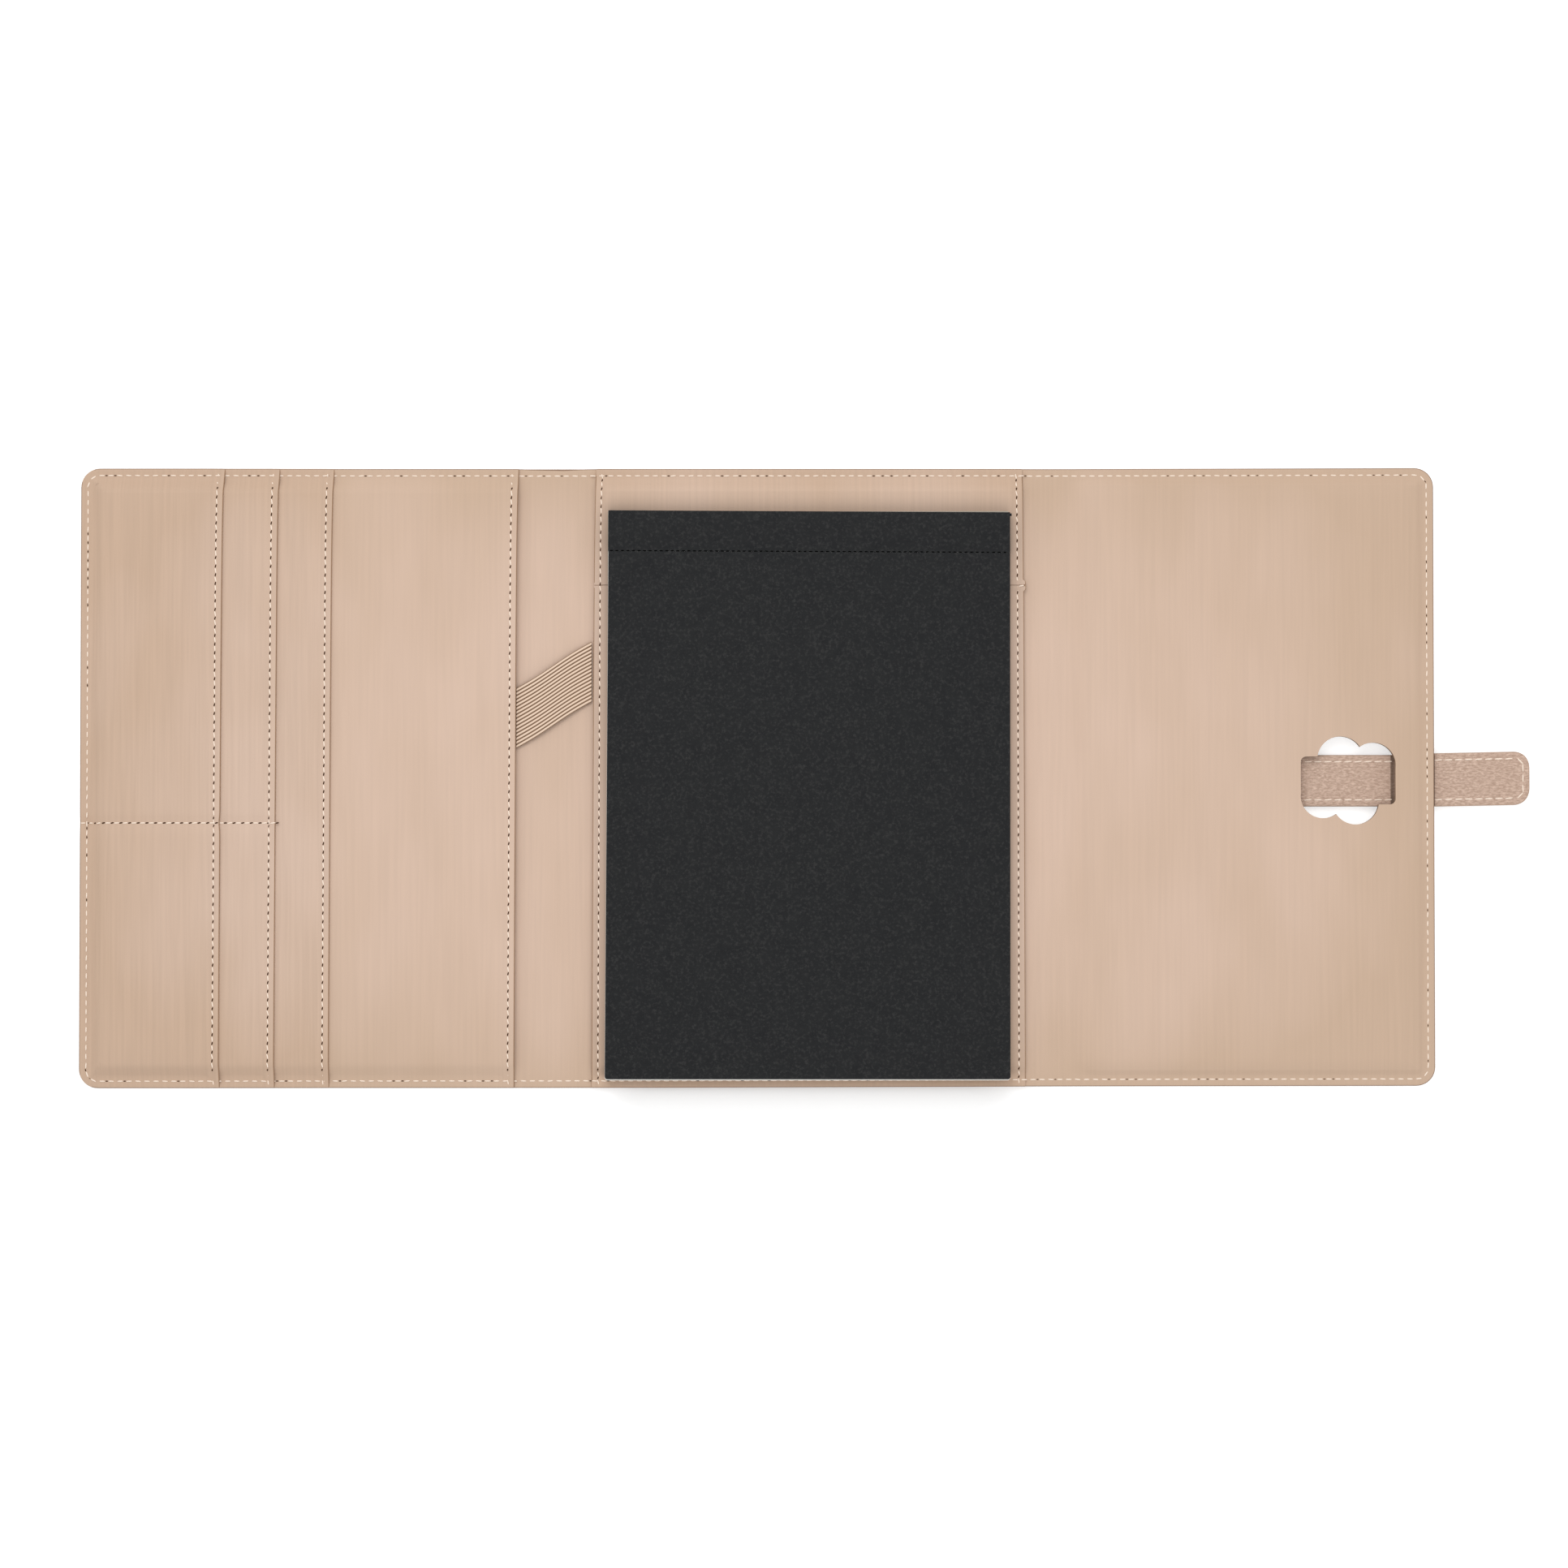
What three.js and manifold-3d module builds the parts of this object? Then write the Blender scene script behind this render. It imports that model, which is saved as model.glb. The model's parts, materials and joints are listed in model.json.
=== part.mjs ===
// A trifold writing folder that lies open and flat, with its outside down.
//
// From left to right it has a cover with a document pocket and three stepped card pockets, a soft spine
// strip with a slanting elastic pen loop, a centre panel whose two sleeves hold a top-bound paper pad by
// its back card, and a closing flap with a lobed window over a leather strap. Each panel is a board
// between an outer skin and a lining, sewn together all round. X runs along the opened folder, Y up its
// height and Z up from the table. Millimetres.

import * as THREE from 'three';
import { mergeVertices } from 'three/addons/utils/BufferGeometryUtils.js';
import Module from 'manifold-3d';

const wasm = await Module();
wasm.setup();

// Panels, from left to right
const folderHeight = 229;
const coverWidth = 161;
const spineWidth = 28;
const flapWidth = 151.5;
const cornerRadius = 7;
const foldGap = 0.3;

// Skins, boards and seams
const outerSkin = 1;
const boardThickness = 1.5;
const liningSkin = 0.8;
const seamAllowance = 6.5;
const foldAllowance = 2.5;
const softFoldWidth = 24;
const boardClearance = 0.25;
const riseStart = 1.5;
const riseRun = 2;
const boardEdgeRun = 1;
const turnedGap = 0.2;

// Pockets in the left cover, each card pocket's mouth measured from the folder's left edge
const pocketSheet = 0.5;
const pocketRoom = 0.5;
const mouthRoom = 0.25;
const hemWidth = 5;
const seamStagger = 0.5;
const cardMouths = { card_pocket_inner: 92.4, card_pocket_middle: 72.3, card_pocket_front: 52 };

// Sleeves over the centre panel, parted by the slit that takes the pad's back card
const sleeveSheet = 0.8;
const sleeveRoom = 0.8;
const sleeveHemFold = 0.5;
const slitY = 72;
const slitWidth = 1.8;

// Pad, an A5 block bound along its top edge, with a margin of sleeve on each side of it. The sleeves'
// side hems end just short of the pad's card.
const padWidth = 148;
const padHeight = 210;
const padSideMargin = 6;
const padTopMargin = 16;
const cardSideGap = 1;
const padSheetsThickness = 4;
const padCardThickness = 0.7;
const padCoverThickness = 0.35;
const padHeaderHeight = 14.5;
const creaseGap = 0.4;
const cardNeck = 1;
const cardEndGap = 0.5;

// Elastic pen loop across the spine strip
const loopWidth = 22.4;
const loopLeftY = 22.1;
const loopRightY = 39.2;
const loopRibs = 16;
const ribSlopeShare = 0.3;
const loopThickness = 0.8;
const ribHeight = 0.35;
const loopArch = 0.8;
const loopSeat = 0.3;
const loopWave = 0.7;

// Strap behind the flap, and the window in front of it
const strapLength = 96.5;
const strapWidth = 19.4;
const strapY = -0.45;
const strapThickness = 2;
const strapSeat = 0.3;
const strapOverhang = 35;
const strapRadius = 5.8;
const windowFromEdge = 32.2;
const windowY = -1;
const windowHalfWidth = 17.4;
const windowHalfHeight = 8.85;
const windowCornerRadius = 2;
const lobes = [
  { x: -2.75, y: 7.7, radius: 8.55 },
  { x: 9.2, y: 5.7, radius: 8.25 },
];

// Fineness of round outlines, how close two points are the same one, and how far a cutting shape runs
// past what it cuts
const cornerSteps = 3;
const lobeSteps = 16;
const loopSteps = 8;
const samePoint = 1e-6;
const overcut = 1;

// Places worked out from the sizes above
const halfHeight = folderHeight / 2;
const halfGap = foldGap / 2;
const halfStagger = seamStagger / 2;
const centreWidth = padWidth + 2 * padSideMargin;
const sleeveHem = padSideMargin - cardSideGap;
const spineFoldX = coverWidth + spineWidth;
const rightFoldX = spineFoldX + centreWidth;
const flapStartX = rightFoldX + softFoldWidth / 2;
const folderLength = rightFoldX + flapWidth;
const boardTop = outerSkin + boardThickness;
const seamTop = outerSkin + liningSkin;
const liningTop = boardTop + liningSkin;
const riseInset = seamAllowance - riseStart;
const sleeveTop = liningTop + sleeveRoom + sleeveSheet;

const matt = (color, roughness) => new THREE.MeshStandardMaterial({ color, roughness, flatShading: true });
const liningMaterial = matt(0xd6bda9, 0.62);
const pocketMaterial = matt(0xd2b39e, 0.62);
const outerMaterial = matt(0xc6aa95, 0.7);
const strapMaterial = matt(0xc2a694, 0.7);
const boardMaterial = matt(0x9b8b78, 0.9);
const elasticMaterial = matt(0xc5a993, 0.85);
const blackCoverMaterial = matt(0x303030, 0.8);
const paperMaterial = matt(0xf2efe8, 0.9);
const cardMaterial = matt(0xb9b2a6, 0.9);

// Closed solids and meshes

function toSolid(geometry) {
  const bare = geometry.clone();
  bare.deleteAttribute('normal');
  bare.deleteAttribute('uv');
  const merged = mergeVertices(bare);
  const vertProperties = new Float32Array(merged.attributes.position.array);
  const triVerts = new Uint32Array(merged.index.array);
  return new wasm.Manifold(new wasm.Mesh({ numProp: 3, vertProperties, triVerts }));
}

function toPiece(name, solid, material) {
  const { vertProperties, triVerts } = solid.getMesh();
  const geometry = new THREE.BufferGeometry();
  geometry.setAttribute('position', new THREE.BufferAttribute(vertProperties, 3));
  geometry.setIndex(new THREE.BufferAttribute(triVerts, 1));
  const mesh = new THREE.Mesh(geometry, material);
  mesh.name = name;
  return mesh;
}

// The points of a shape, with none twice
function ring(shape) {
  const points = shape.getPoints(cornerSteps);
  return points.filter((p, i) => p.distanceTo(points[(i + 1) % points.length]) > samePoint);
}

// A solid whose skin runs through shapes of the same kind, each at its own height, from the lowest up
function loft(levels) {
  const rings = levels.map(([shape]) => ring(shape));
  const count = rings[0].length;
  const positions = rings.flatMap((points, level) => points.flatMap((p) => [p.x, p.y, levels[level][1]]));
  const index = [];
  const last = (rings.length - 1) * count;
  const bottom = THREE.ShapeUtils.triangulateShape(rings[0], []);
  const top = THREE.ShapeUtils.triangulateShape(rings.at(-1), []);
  for (const [a, b, c] of bottom) index.push(c, b, a);
  for (const [a, b, c] of top) index.push(last + a, last + b, last + c);
  for (let base = 0; base < last; base += count) {
    for (let i = 0; i < count; i += 1) {
      const next = (i + 1) % count;
      index.push(base + i, base + next, base + count + next);
      index.push(base + i, base + count + next, base + count + i);
    }
  }
  const geometry = new THREE.BufferGeometry();
  geometry.setAttribute('position', new THREE.Float32BufferAttribute(positions, 3));
  geometry.setIndex(index);
  return toSolid(geometry);
}

// A profile drawn in Y and Z, run along X
function alongX(points, startX, endX, steps = 1) {
  const shape = new THREE.Shape(points.map(([y, z]) => new THREE.Vector2(y, z)));
  const geometry = new THREE.ExtrudeGeometry(shape, { depth: endX - startX, steps, bevelEnabled: false });
  const turn = new THREE.Matrix4().makeBasis(
    new THREE.Vector3(0, 1, 0),
    new THREE.Vector3(0, 0, 1),
    new THREE.Vector3(1, 0, 0),
  );
  return geometry.applyMatrix4(turn).translate(startX, 0, 0);
}

// Plans of the panels. A side's allowance is what a fold adds to every inset on that side, and null
// keeps the side where it is, as a pocket's open mouth does.

const coverPanel = {
  left: 0,
  right: coverWidth - halfGap,
  leftCorner: cornerRadius,
  rightCorner: 0,
  leftAllowance: 0,
  rightAllowance: foldAllowance - seamAllowance,
};

const spinePanel = {
  left: coverWidth + halfGap,
  right: spineFoldX - halfGap,
  leftCorner: 0,
  rightCorner: 0,
  leftAllowance: 0,
  rightAllowance: 0,
};

const centrePanel = {
  left: spineFoldX + halfGap,
  right: flapStartX - halfGap,
  leftCorner: 0,
  rightCorner: 0,
  leftAllowance: foldAllowance - seamAllowance,
  rightAllowance: softFoldWidth / 2 + foldAllowance - seamAllowance,
};

const flapPanel = {
  left: halfGap,
  right: folderLength - flapStartX,
  leftCorner: 0,
  rightCorner: cornerRadius,
  leftAllowance: softFoldWidth / 2 - seamAllowance,
  rightAllowance: 0,
};

function sideInset(allowance, inset) {
  if (inset <= 0) return inset;
  return allowance === null ? 0 : inset + allowance;
}

function roundedShape(left, right, bottom, top, leftRadius, rightRadius) {
  const shape = new THREE.Shape();
  shape.moveTo(left + leftRadius, bottom);
  shape.lineTo(right - rightRadius, bottom);
  if (rightRadius > 0) shape.absarc(right - rightRadius, bottom + rightRadius, rightRadius, -Math.PI / 2, 0);
  shape.lineTo(right, top - rightRadius);
  if (rightRadius > 0) shape.absarc(right - rightRadius, top - rightRadius, rightRadius, 0, Math.PI / 2);
  shape.lineTo(left + leftRadius, top);
  if (leftRadius > 0) shape.absarc(left + leftRadius, top - leftRadius, leftRadius, Math.PI / 2, Math.PI);
  shape.lineTo(left, bottom + leftRadius);
  if (leftRadius > 0) shape.absarc(left + leftRadius, bottom + leftRadius, leftRadius, Math.PI, -Math.PI / 2);
  return shape;
}

function outline(panel, inset) {
  const left = panel.left + sideInset(panel.leftAllowance, inset);
  const right = panel.right - sideInset(panel.rightAllowance, inset);
  const top = halfHeight - inset;
  const radius = (corner) => corner && Math.max(corner - inset, overcut);
  return roundedShape(left, right, -top, top, radius(panel.leftCorner), radius(panel.rightCorner));
}

function plate(panel, inset, lowZ, highZ) {
  return loft([[outline(panel, inset), lowZ], [outline(panel, inset), highZ]]);
}

// All that lies under a surface which is flat along its seams and rises, from an inset, over what it covers
function mound(panel, edgeInset, lowZ, seamZ, topZ, inset, run) {
  return loft([
    [outline(panel, edgeInset), lowZ],
    [outline(panel, edgeInset), seamZ],
    [outline(panel, inset), seamZ],
    [outline(panel, inset + run), topZ],
  ]);
}

// A board between an outer skin and a lining that comes down to the skin along the seam
function boardedPanel(prefix, panel, stackGap, cutter) {
  const skinTop = outerSkin + stackGap;
  const over = mound(panel, 0, 0, seamTop, liningTop, riseInset, riseRun);
  const under = mound(
    panel, -overcut, -overcut, skinTop, boardTop + stackGap, riseInset + boardClearance, boardEdgeRun,
  );
  const layers = [
    ['outer', plate(panel, 0, 0, outerSkin), outerMaterial],
    ['board', plate(panel, seamAllowance, skinTop, boardTop), boardMaterial],
    ['lining', over.subtract(under), liningMaterial],
  ];
  return layers.map(([layer, solid, material]) =>
    toPiece(`${prefix}_${layer}`, cutter ? solid.subtract(cutter) : solid, material));
}

// A pocket sheet, sewn down on three sides, with a turned hem along its open mouth
function pocket(name, mouthX, level) {
  const seamZ = seamTop + level * pocketSheet;
  const coveredZ = liningTop + level * (pocketRoom + pocketSheet);
  const inset = riseInset - (level + 1) * seamStagger;
  const upTo = (right) => ({ ...coverPanel, right, rightAllowance: null });
  const under = (right, room) =>
    mound(upTo(right), -overcut, -overcut, seamZ, coveredZ + room, inset + halfStagger, riseRun);
  const over = mound(
    upTo(mouthX), 0, 0, seamZ + pocketSheet, coveredZ + pocketRoom + pocketSheet, inset, riseRun,
  );
  const mouthHollow = under(mouthX + overcut, mouthRoom);
  const hollow = under(mouthX - hemWidth, pocketRoom);
  const sheet = over.subtract(mouthHollow).subtract(hollow);
  return toPiece(name, sheet, pocketMaterial);
}

// A sleeve sewn down along one edge of the folder and open at both sides, where its hems are turned under
function sleeve(name, slitEdgeY, seamY) {
  const inward = -Math.sign(seamY);
  const profile = (hemFold) => [
    [slitEdgeY, sleeveTop - sleeveSheet - hemFold],
    [seamY + inward * (riseInset - halfStagger + riseRun), sleeveTop - sleeveSheet - hemFold],
    [seamY + inward * (riseInset - halfStagger), seamTop],
    [seamY, seamTop],
    [seamY, seamTop + sleeveSheet],
    [seamY + inward * (riseInset - seamStagger), seamTop + sleeveSheet],
    [seamY + inward * (riseInset - seamStagger + riseRun), sleeveTop],
    [slitEdgeY, sleeveTop],
  ];
  const left = spineFoldX + halfGap;
  const sheet = toSolid(alongX(profile(0), left, rightFoldX));
  const leftHem = toSolid(alongX(profile(sleeveHemFold), left, left + sleeveHem));
  const rightHem = toSolid(alongX(profile(sleeveHemFold), rightFoldX - sleeveHem, rightFoldX));
  return toPiece(name, sheet.add(leftHem).add(rightHem), pocketMaterial);
}

// The pad: its card goes over the upper sleeve, down through the slit and under the lower sleeve
function padPieces() {
  const left = spineFoldX + padSideMargin;
  const right = left + padWidth;
  const topY = halfHeight - padTopMargin;
  const bottomY = topY - padHeight;
  const creaseY = topY - padHeaderHeight;
  const cardEndY = -halfHeight + riseInset + riseRun + cardEndGap;
  const cardTop = sleeveTop + padCardThickness;
  const sheetsTop = sleeveTop + padSheetsThickness;
  const coverTop = sheetsTop + padCoverThickness;
  const neckLow = slitY - cardNeck / 2;
  const neckHigh = slitY + cardNeck / 2;
  const card = [
    [cardEndY, liningTop], [neckHigh, liningTop], [neckHigh, sleeveTop], [topY, sleeveTop],
    [topY, cardTop], [neckLow, cardTop], [neckLow, liningTop + padCardThickness],
    [cardEndY, liningTop + padCardThickness],
  ];
  const sheets = [
    [bottomY, sleeveTop], [neckLow - creaseGap, sleeveTop], [neckLow - creaseGap, cardTop],
    [topY, cardTop], [topY, sheetsTop], [bottomY, sheetsTop],
  ];
  const header = [
    [creaseY + creaseGap / 2, sheetsTop], [topY, sheetsTop], [topY, sleeveTop],
    [topY + padCoverThickness, sleeveTop], [topY + padCoverThickness, coverTop],
    [creaseY + creaseGap / 2, coverTop],
  ];
  const cover = [
    [bottomY, sheetsTop], [creaseY - creaseGap / 2, sheetsTop],
    [creaseY - creaseGap / 2, coverTop], [bottomY, coverTop],
  ];
  const parts = [
    ['pad_back_card', card, cardMaterial],
    ['pad_sheets', sheets, paperMaterial],
    ['pad_header', header, blackCoverMaterial],
    ['pad_cover', cover, blackCoverMaterial],
  ];
  return parts.map(([name, profile, material]) => {
    const block = toSolid(alongX(profile, left, right));
    return toPiece(name, block, material);
  });
}

// The ribbed elastic, which slants across the strip in a slack S and stands a little proud in the middle
function penLoop() {
  const { left, right } = spinePanel;
  const ribPitch = loopWidth / loopRibs;
  const ribOutline = [[0, 0], [ribSlopeShare, 1], [1 - ribSlopeShare, 1]];
  const section = [[-loopWidth / 2, 0], [loopWidth / 2, 0]];
  for (let rib = 0; rib < loopRibs; rib += 1) {
    for (const [along, rise] of ribOutline) {
      section.push([loopWidth / 2 - (rib + along) * ribPitch, loopThickness + rise * ribHeight]);
    }
  }
  section.push([-loopWidth / 2, loopThickness]);
  const geometry = alongX(section, left, right, loopSteps);
  const position = geometry.attributes.position;
  for (let i = 0; i < position.count; i += 1) {
    const share = (position.getX(i) - left) / (right - left);
    const wave = loopWave * Math.sin(2 * Math.PI * share);
    const middleY = THREE.MathUtils.lerp(loopLeftY, loopRightY, share) - wave;
    position.setY(i, position.getY(i) + middleY);
    position.setZ(i, position.getZ(i) + seamTop + loopSeat + loopArch * Math.sin(Math.PI * share));
  }
  return toPiece('pen_loop', toSolid(geometry), elasticMaterial);
}

// The window's cutter: a slot for the strap's width, with two round lobes above it and, turned half a
// circle about the middle, two below
function windowCutter(centreX) {
  const slot = roundedShape(
    centreX - windowHalfWidth, centreX + windowHalfWidth,
    windowY - windowHalfHeight, windowY + windowHalfHeight, windowCornerRadius, windowCornerRadius,
  );
  const lowZ = -overcut;
  const highZ = liningTop + overcut;
  let cutter = loft([[slot, lowZ], [slot, highZ]]);
  for (const turn of [1, -1]) {
    for (const { x, y, radius } of lobes) {
      const disc = new THREE.CylinderGeometry(radius, radius, highZ - lowZ, 2 * lobeSteps);
      disc.rotateX(Math.PI / 2).translate(centreX + turn * x, windowY + turn * y, (highZ + lowZ) / 2);
      cutter = cutter.add(toSolid(disc));
    }
  }
  return cutter;
}

// The strap: two leather strips sewn back to back, square at the sewn end and round at the tip
function strapPieces() {
  const shape = roundedShape(0, strapLength, -strapWidth / 2, strapWidth / 2, 0, strapRadius);
  const middle = -strapThickness / 2;
  return [
    toPiece('strap_outer', loft([[shape, -strapThickness], [shape, middle - turnedGap / 2]]), strapMaterial),
    toPiece('strap_inner', loft([[shape, middle + turnedGap / 2], [shape, 0]]), strapMaterial),
  ];
}

// Put together

const folder = new THREE.Group();

folder.add(...boardedPanel('cover', coverPanel, 0));
folder.add(pocket('document_pocket', coverPanel.right, 0));
Object.entries(cardMouths).forEach(([name, mouthX], i) => folder.add(pocket(name, mouthX, i + 1)));

folder.add(toPiece('spine_outer', plate(spinePanel, 0, 0, outerSkin), outerMaterial));
folder.add(toPiece('spine_lining', plate(spinePanel, 0, outerSkin, seamTop), liningMaterial));
folder.add(penLoop());

folder.add(...boardedPanel('centre', centrePanel, 0));
folder.add(sleeve('centre_sleeve_upper', slitY + slitWidth / 2, halfHeight));
folder.add(sleeve('centre_sleeve_lower', slitY - slitWidth / 2, -halfHeight));
folder.add(...padPieces());

// The flap leans on the strap behind it, so it is turned up about its fold until the strap meets the table
const strapStart = folderLength + strapOverhang - strapLength - flapStartX;
const flap = new THREE.Group();
flap.position.x = flapStartX;
flap.rotation.y = -Math.atan2(strapThickness + strapSeat, strapStart);
flap.add(...boardedPanel('flap', flapPanel, turnedGap, windowCutter(flapPanel.right - windowFromEdge)));

const strap = new THREE.Group();
strap.position.set(strapStart, strapY, -strapSeat);
strap.add(...strapPieces());
flap.add(strap);
folder.add(flap);

// The origin is the middle of the underside of the whole folder's bounding box
folder.updateMatrixWorld(true);
const bounds = new THREE.Box3().setFromObject(folder, true);
const middle = bounds.getCenter(new THREE.Vector3());
folder.position.set(-middle.x, -middle.y, -bounds.min.z);
folder.updateMatrixWorld(true);

export default folder;
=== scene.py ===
import json
import math

import bpy
import numpy as np
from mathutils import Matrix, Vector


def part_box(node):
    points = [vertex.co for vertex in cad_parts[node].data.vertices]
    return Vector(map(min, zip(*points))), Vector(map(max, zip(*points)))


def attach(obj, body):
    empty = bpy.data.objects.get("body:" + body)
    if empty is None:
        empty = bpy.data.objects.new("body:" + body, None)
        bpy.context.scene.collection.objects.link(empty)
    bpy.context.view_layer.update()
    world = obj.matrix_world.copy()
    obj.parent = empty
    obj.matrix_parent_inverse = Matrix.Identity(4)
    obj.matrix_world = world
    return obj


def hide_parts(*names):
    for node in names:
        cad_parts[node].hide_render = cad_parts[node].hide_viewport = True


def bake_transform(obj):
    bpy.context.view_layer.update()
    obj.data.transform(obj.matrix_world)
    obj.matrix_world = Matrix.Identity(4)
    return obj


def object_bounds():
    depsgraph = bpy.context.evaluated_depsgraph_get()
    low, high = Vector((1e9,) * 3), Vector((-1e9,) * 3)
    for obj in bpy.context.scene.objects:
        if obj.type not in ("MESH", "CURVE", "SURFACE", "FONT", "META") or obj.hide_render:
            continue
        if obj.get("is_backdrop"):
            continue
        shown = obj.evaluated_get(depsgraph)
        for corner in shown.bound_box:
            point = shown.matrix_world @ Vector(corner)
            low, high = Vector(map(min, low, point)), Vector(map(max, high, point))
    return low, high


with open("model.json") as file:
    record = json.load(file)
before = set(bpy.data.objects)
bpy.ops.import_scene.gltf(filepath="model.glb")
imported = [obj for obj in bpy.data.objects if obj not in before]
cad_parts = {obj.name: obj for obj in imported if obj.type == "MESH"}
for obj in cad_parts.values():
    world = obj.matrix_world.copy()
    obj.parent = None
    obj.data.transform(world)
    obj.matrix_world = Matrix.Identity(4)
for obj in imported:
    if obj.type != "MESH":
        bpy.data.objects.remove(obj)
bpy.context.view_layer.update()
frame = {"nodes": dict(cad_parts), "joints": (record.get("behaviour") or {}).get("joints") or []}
mm = 0.001

# The camera hangs almost straight above the open folder, with a long lens, so that its sides
# stay nearly parallel. It leans a little towards the folder's lower edge.
camera_aim = (-7.65 * mm, -2.25 * mm, 3 * mm)
camera_distance = 1.5
camera_lean = math.radians(1.35)
view_width = 579.6 * mm
sensor_width = 36
camera_reach = 20
bpy.ops.object.camera_add(
    location=(
        camera_aim[0],
        camera_aim[1] - camera_distance * math.sin(camera_lean),
        camera_aim[2] + camera_distance * math.cos(camera_lean),
    ),
    rotation=(camera_lean, 0, 0),
)
camera = bpy.context.object
camera.name = "camera"
camera.data.sensor_width = sensor_width
camera.data.lens = sensor_width * camera_distance / view_width
camera.data.clip_end = camera_reach
bpy.context.scene.camera = camera

# One broad soft box stands above the folder's upper edge and a weaker one faces it from below. The
# rest is even white light from all round, so colours come out about as they are written.
for lamp_name, place, side, power in [
    ("soft_box_upper", (-0.35, 1.25, 1.7), 1.3, 14.4),
    ("soft_box_lower", (0.5, -0.7, 1.2), 1.0, 1.9),
]:
    bpy.ops.object.light_add(type="AREA", location=place)
    lamp = bpy.context.object
    lamp.name = lamp_name
    lamp.data.size = side
    lamp.data.energy = power
    away = math.hypot(place[0], place[1])
    lamp.rotation_euler = (0, math.atan2(away, place[2]), math.atan2(place[1], place[0]))
world_glow = 0.8
world = bpy.data.worlds.new("studio")
world.use_nodes = True
sky = world.node_tree.nodes["Background"]
sky.inputs["Color"].default_value = (1, 1, 1, 1)
sky.inputs["Strength"].default_value = world_glow
bpy.context.scene.world = world
bpy.context.scene.view_settings.view_transform = "Standard"


# The floor is a wide white sheet. It takes the folder's shadow, and what the camera sees of it
# is lifted to white, in gloss and glass too, without more light on the folder. The lift is less
# below the pad, so that the pad's shadow shows there.
floor_side = 24
floor_drop = 0.05 * mm
floor_paint = 0.8
floor_glow = 0.55
dim_glow = 0.19
dim_place = (3 * mm, -119 * mm)
dim_half = (84 * mm, 13 * mm)
dim_fade = (0.75, 1.15)


def worked(tree, operation, *terms):
    """A sum that a Math node works out from its terms, each a number or a socket."""
    node = tree.nodes.new("ShaderNodeMath")
    node.operation = operation
    for socket, term in zip(node.inputs, terms):
        if isinstance(term, (int, float)):
            socket.default_value = term
        else:
            tree.links.new(term, socket)
    return node.outputs[0]


bpy.ops.mesh.primitive_grid_add(
    x_subdivisions=2, y_subdivisions=2, size=floor_side, location=(0, 0, -floor_drop),
)
floor = bpy.context.object
floor.name = "floor"
floor_white = bpy.data.materials.new("floor_white")
floor_white.use_nodes = True
tree = floor_white.node_tree
shader = tree.nodes["Principled BSDF"]
shader.inputs["Base Color"].default_value = (floor_paint, floor_paint, floor_paint, 1)
shader.inputs["Roughness"].default_value = 0.9
shader.inputs["Specular IOR Level"].default_value = 0
shader.inputs["Emission Color"].default_value = (1, 1, 1, 1)
rays = tree.nodes.new("ShaderNodeLightPath")
seen = rays.outputs["Is Camera Ray"]
for ray in ("Is Glossy Ray", "Is Transmission Ray"):
    seen = worked(tree, "MAXIMUM", seen, rays.outputs[ray])
patch = tree.nodes.new("ShaderNodeMapping")
patch.inputs["Scale"].default_value = (1 / dim_half[0], 1 / dim_half[1], 0)
patch.inputs["Location"].default_value = (-dim_place[0] / dim_half[0], -dim_place[1] / dim_half[1], 0)
tree.links.new(tree.nodes.new("ShaderNodeTexCoord").outputs["Object"], patch.inputs["Vector"])
outward = tree.nodes.new("ShaderNodeVectorMath")
outward.operation = "LENGTH"
tree.links.new(patch.outputs["Vector"], outward.inputs[0])
lift = tree.nodes.new("ShaderNodeMapRange")
lift.interpolation_type = "SMOOTHSTEP"
lift.inputs["From Min"].default_value = dim_fade[0]
lift.inputs["From Max"].default_value = dim_fade[1]
lift.inputs["To Min"].default_value = dim_glow
lift.inputs["To Max"].default_value = floor_glow
tree.links.new(outward.outputs["Value"], lift.inputs["Value"])
glow = worked(tree, "MULTIPLY", seen, lift.outputs["Result"])
tree.links.new(glow, shader.inputs["Emission Strength"])
floor.data.materials.append(floor_white)
floor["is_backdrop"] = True


# The outer leather is one skin under the whole folder, from the cover round the spine to the flap,
# grained like the strap. Its cut edge is rounded by burnishing; its brown is partly stain, partly painted
# shade.
cover_low, cover_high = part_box("cover_outer")
spine_low, spine_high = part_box("spine_outer")
centre_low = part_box("centre_outer")[0]
folder_left = cover_low.x
folder_half = cover_high.y
fold_axis_x = {j["name"]: j["pos_m"][0] for j in frame["joints"]}
flap_axis = fold_axis_x["right_flap_fold"]
flap_width = 139.1 * mm
folder_right = flap_axis + flap_width
strap_start = 78 * mm
strap_stack = 2.3 * mm
flap_tilt = math.atan2(strap_stack, strap_start)
corner_radius = 7 * mm
edge_rise = 1 * mm
edge_rounding = 0.3 * mm
skin = 1 * mm
touching = 0.01 * mm
weld_reach = 0.02 * mm
fold_pitch = 0.9 * mm
flap_fold_pitch = 1.4 * mm
outer_rings = (1.2 * mm, 3 * mm)
outer_pitch = (20 * mm, 19 * mm)


def dye(red, green, blue):
    """A colour as it is seen on screen, as the linear one that a shader takes."""
    shares = [c / 255 for c in (red, green, blue)]
    return tuple(s / 12.92 if s <= 0.04045 else ((s + 0.055) / 1.055) ** 2.4 for s in shares) + (1,)


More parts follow.
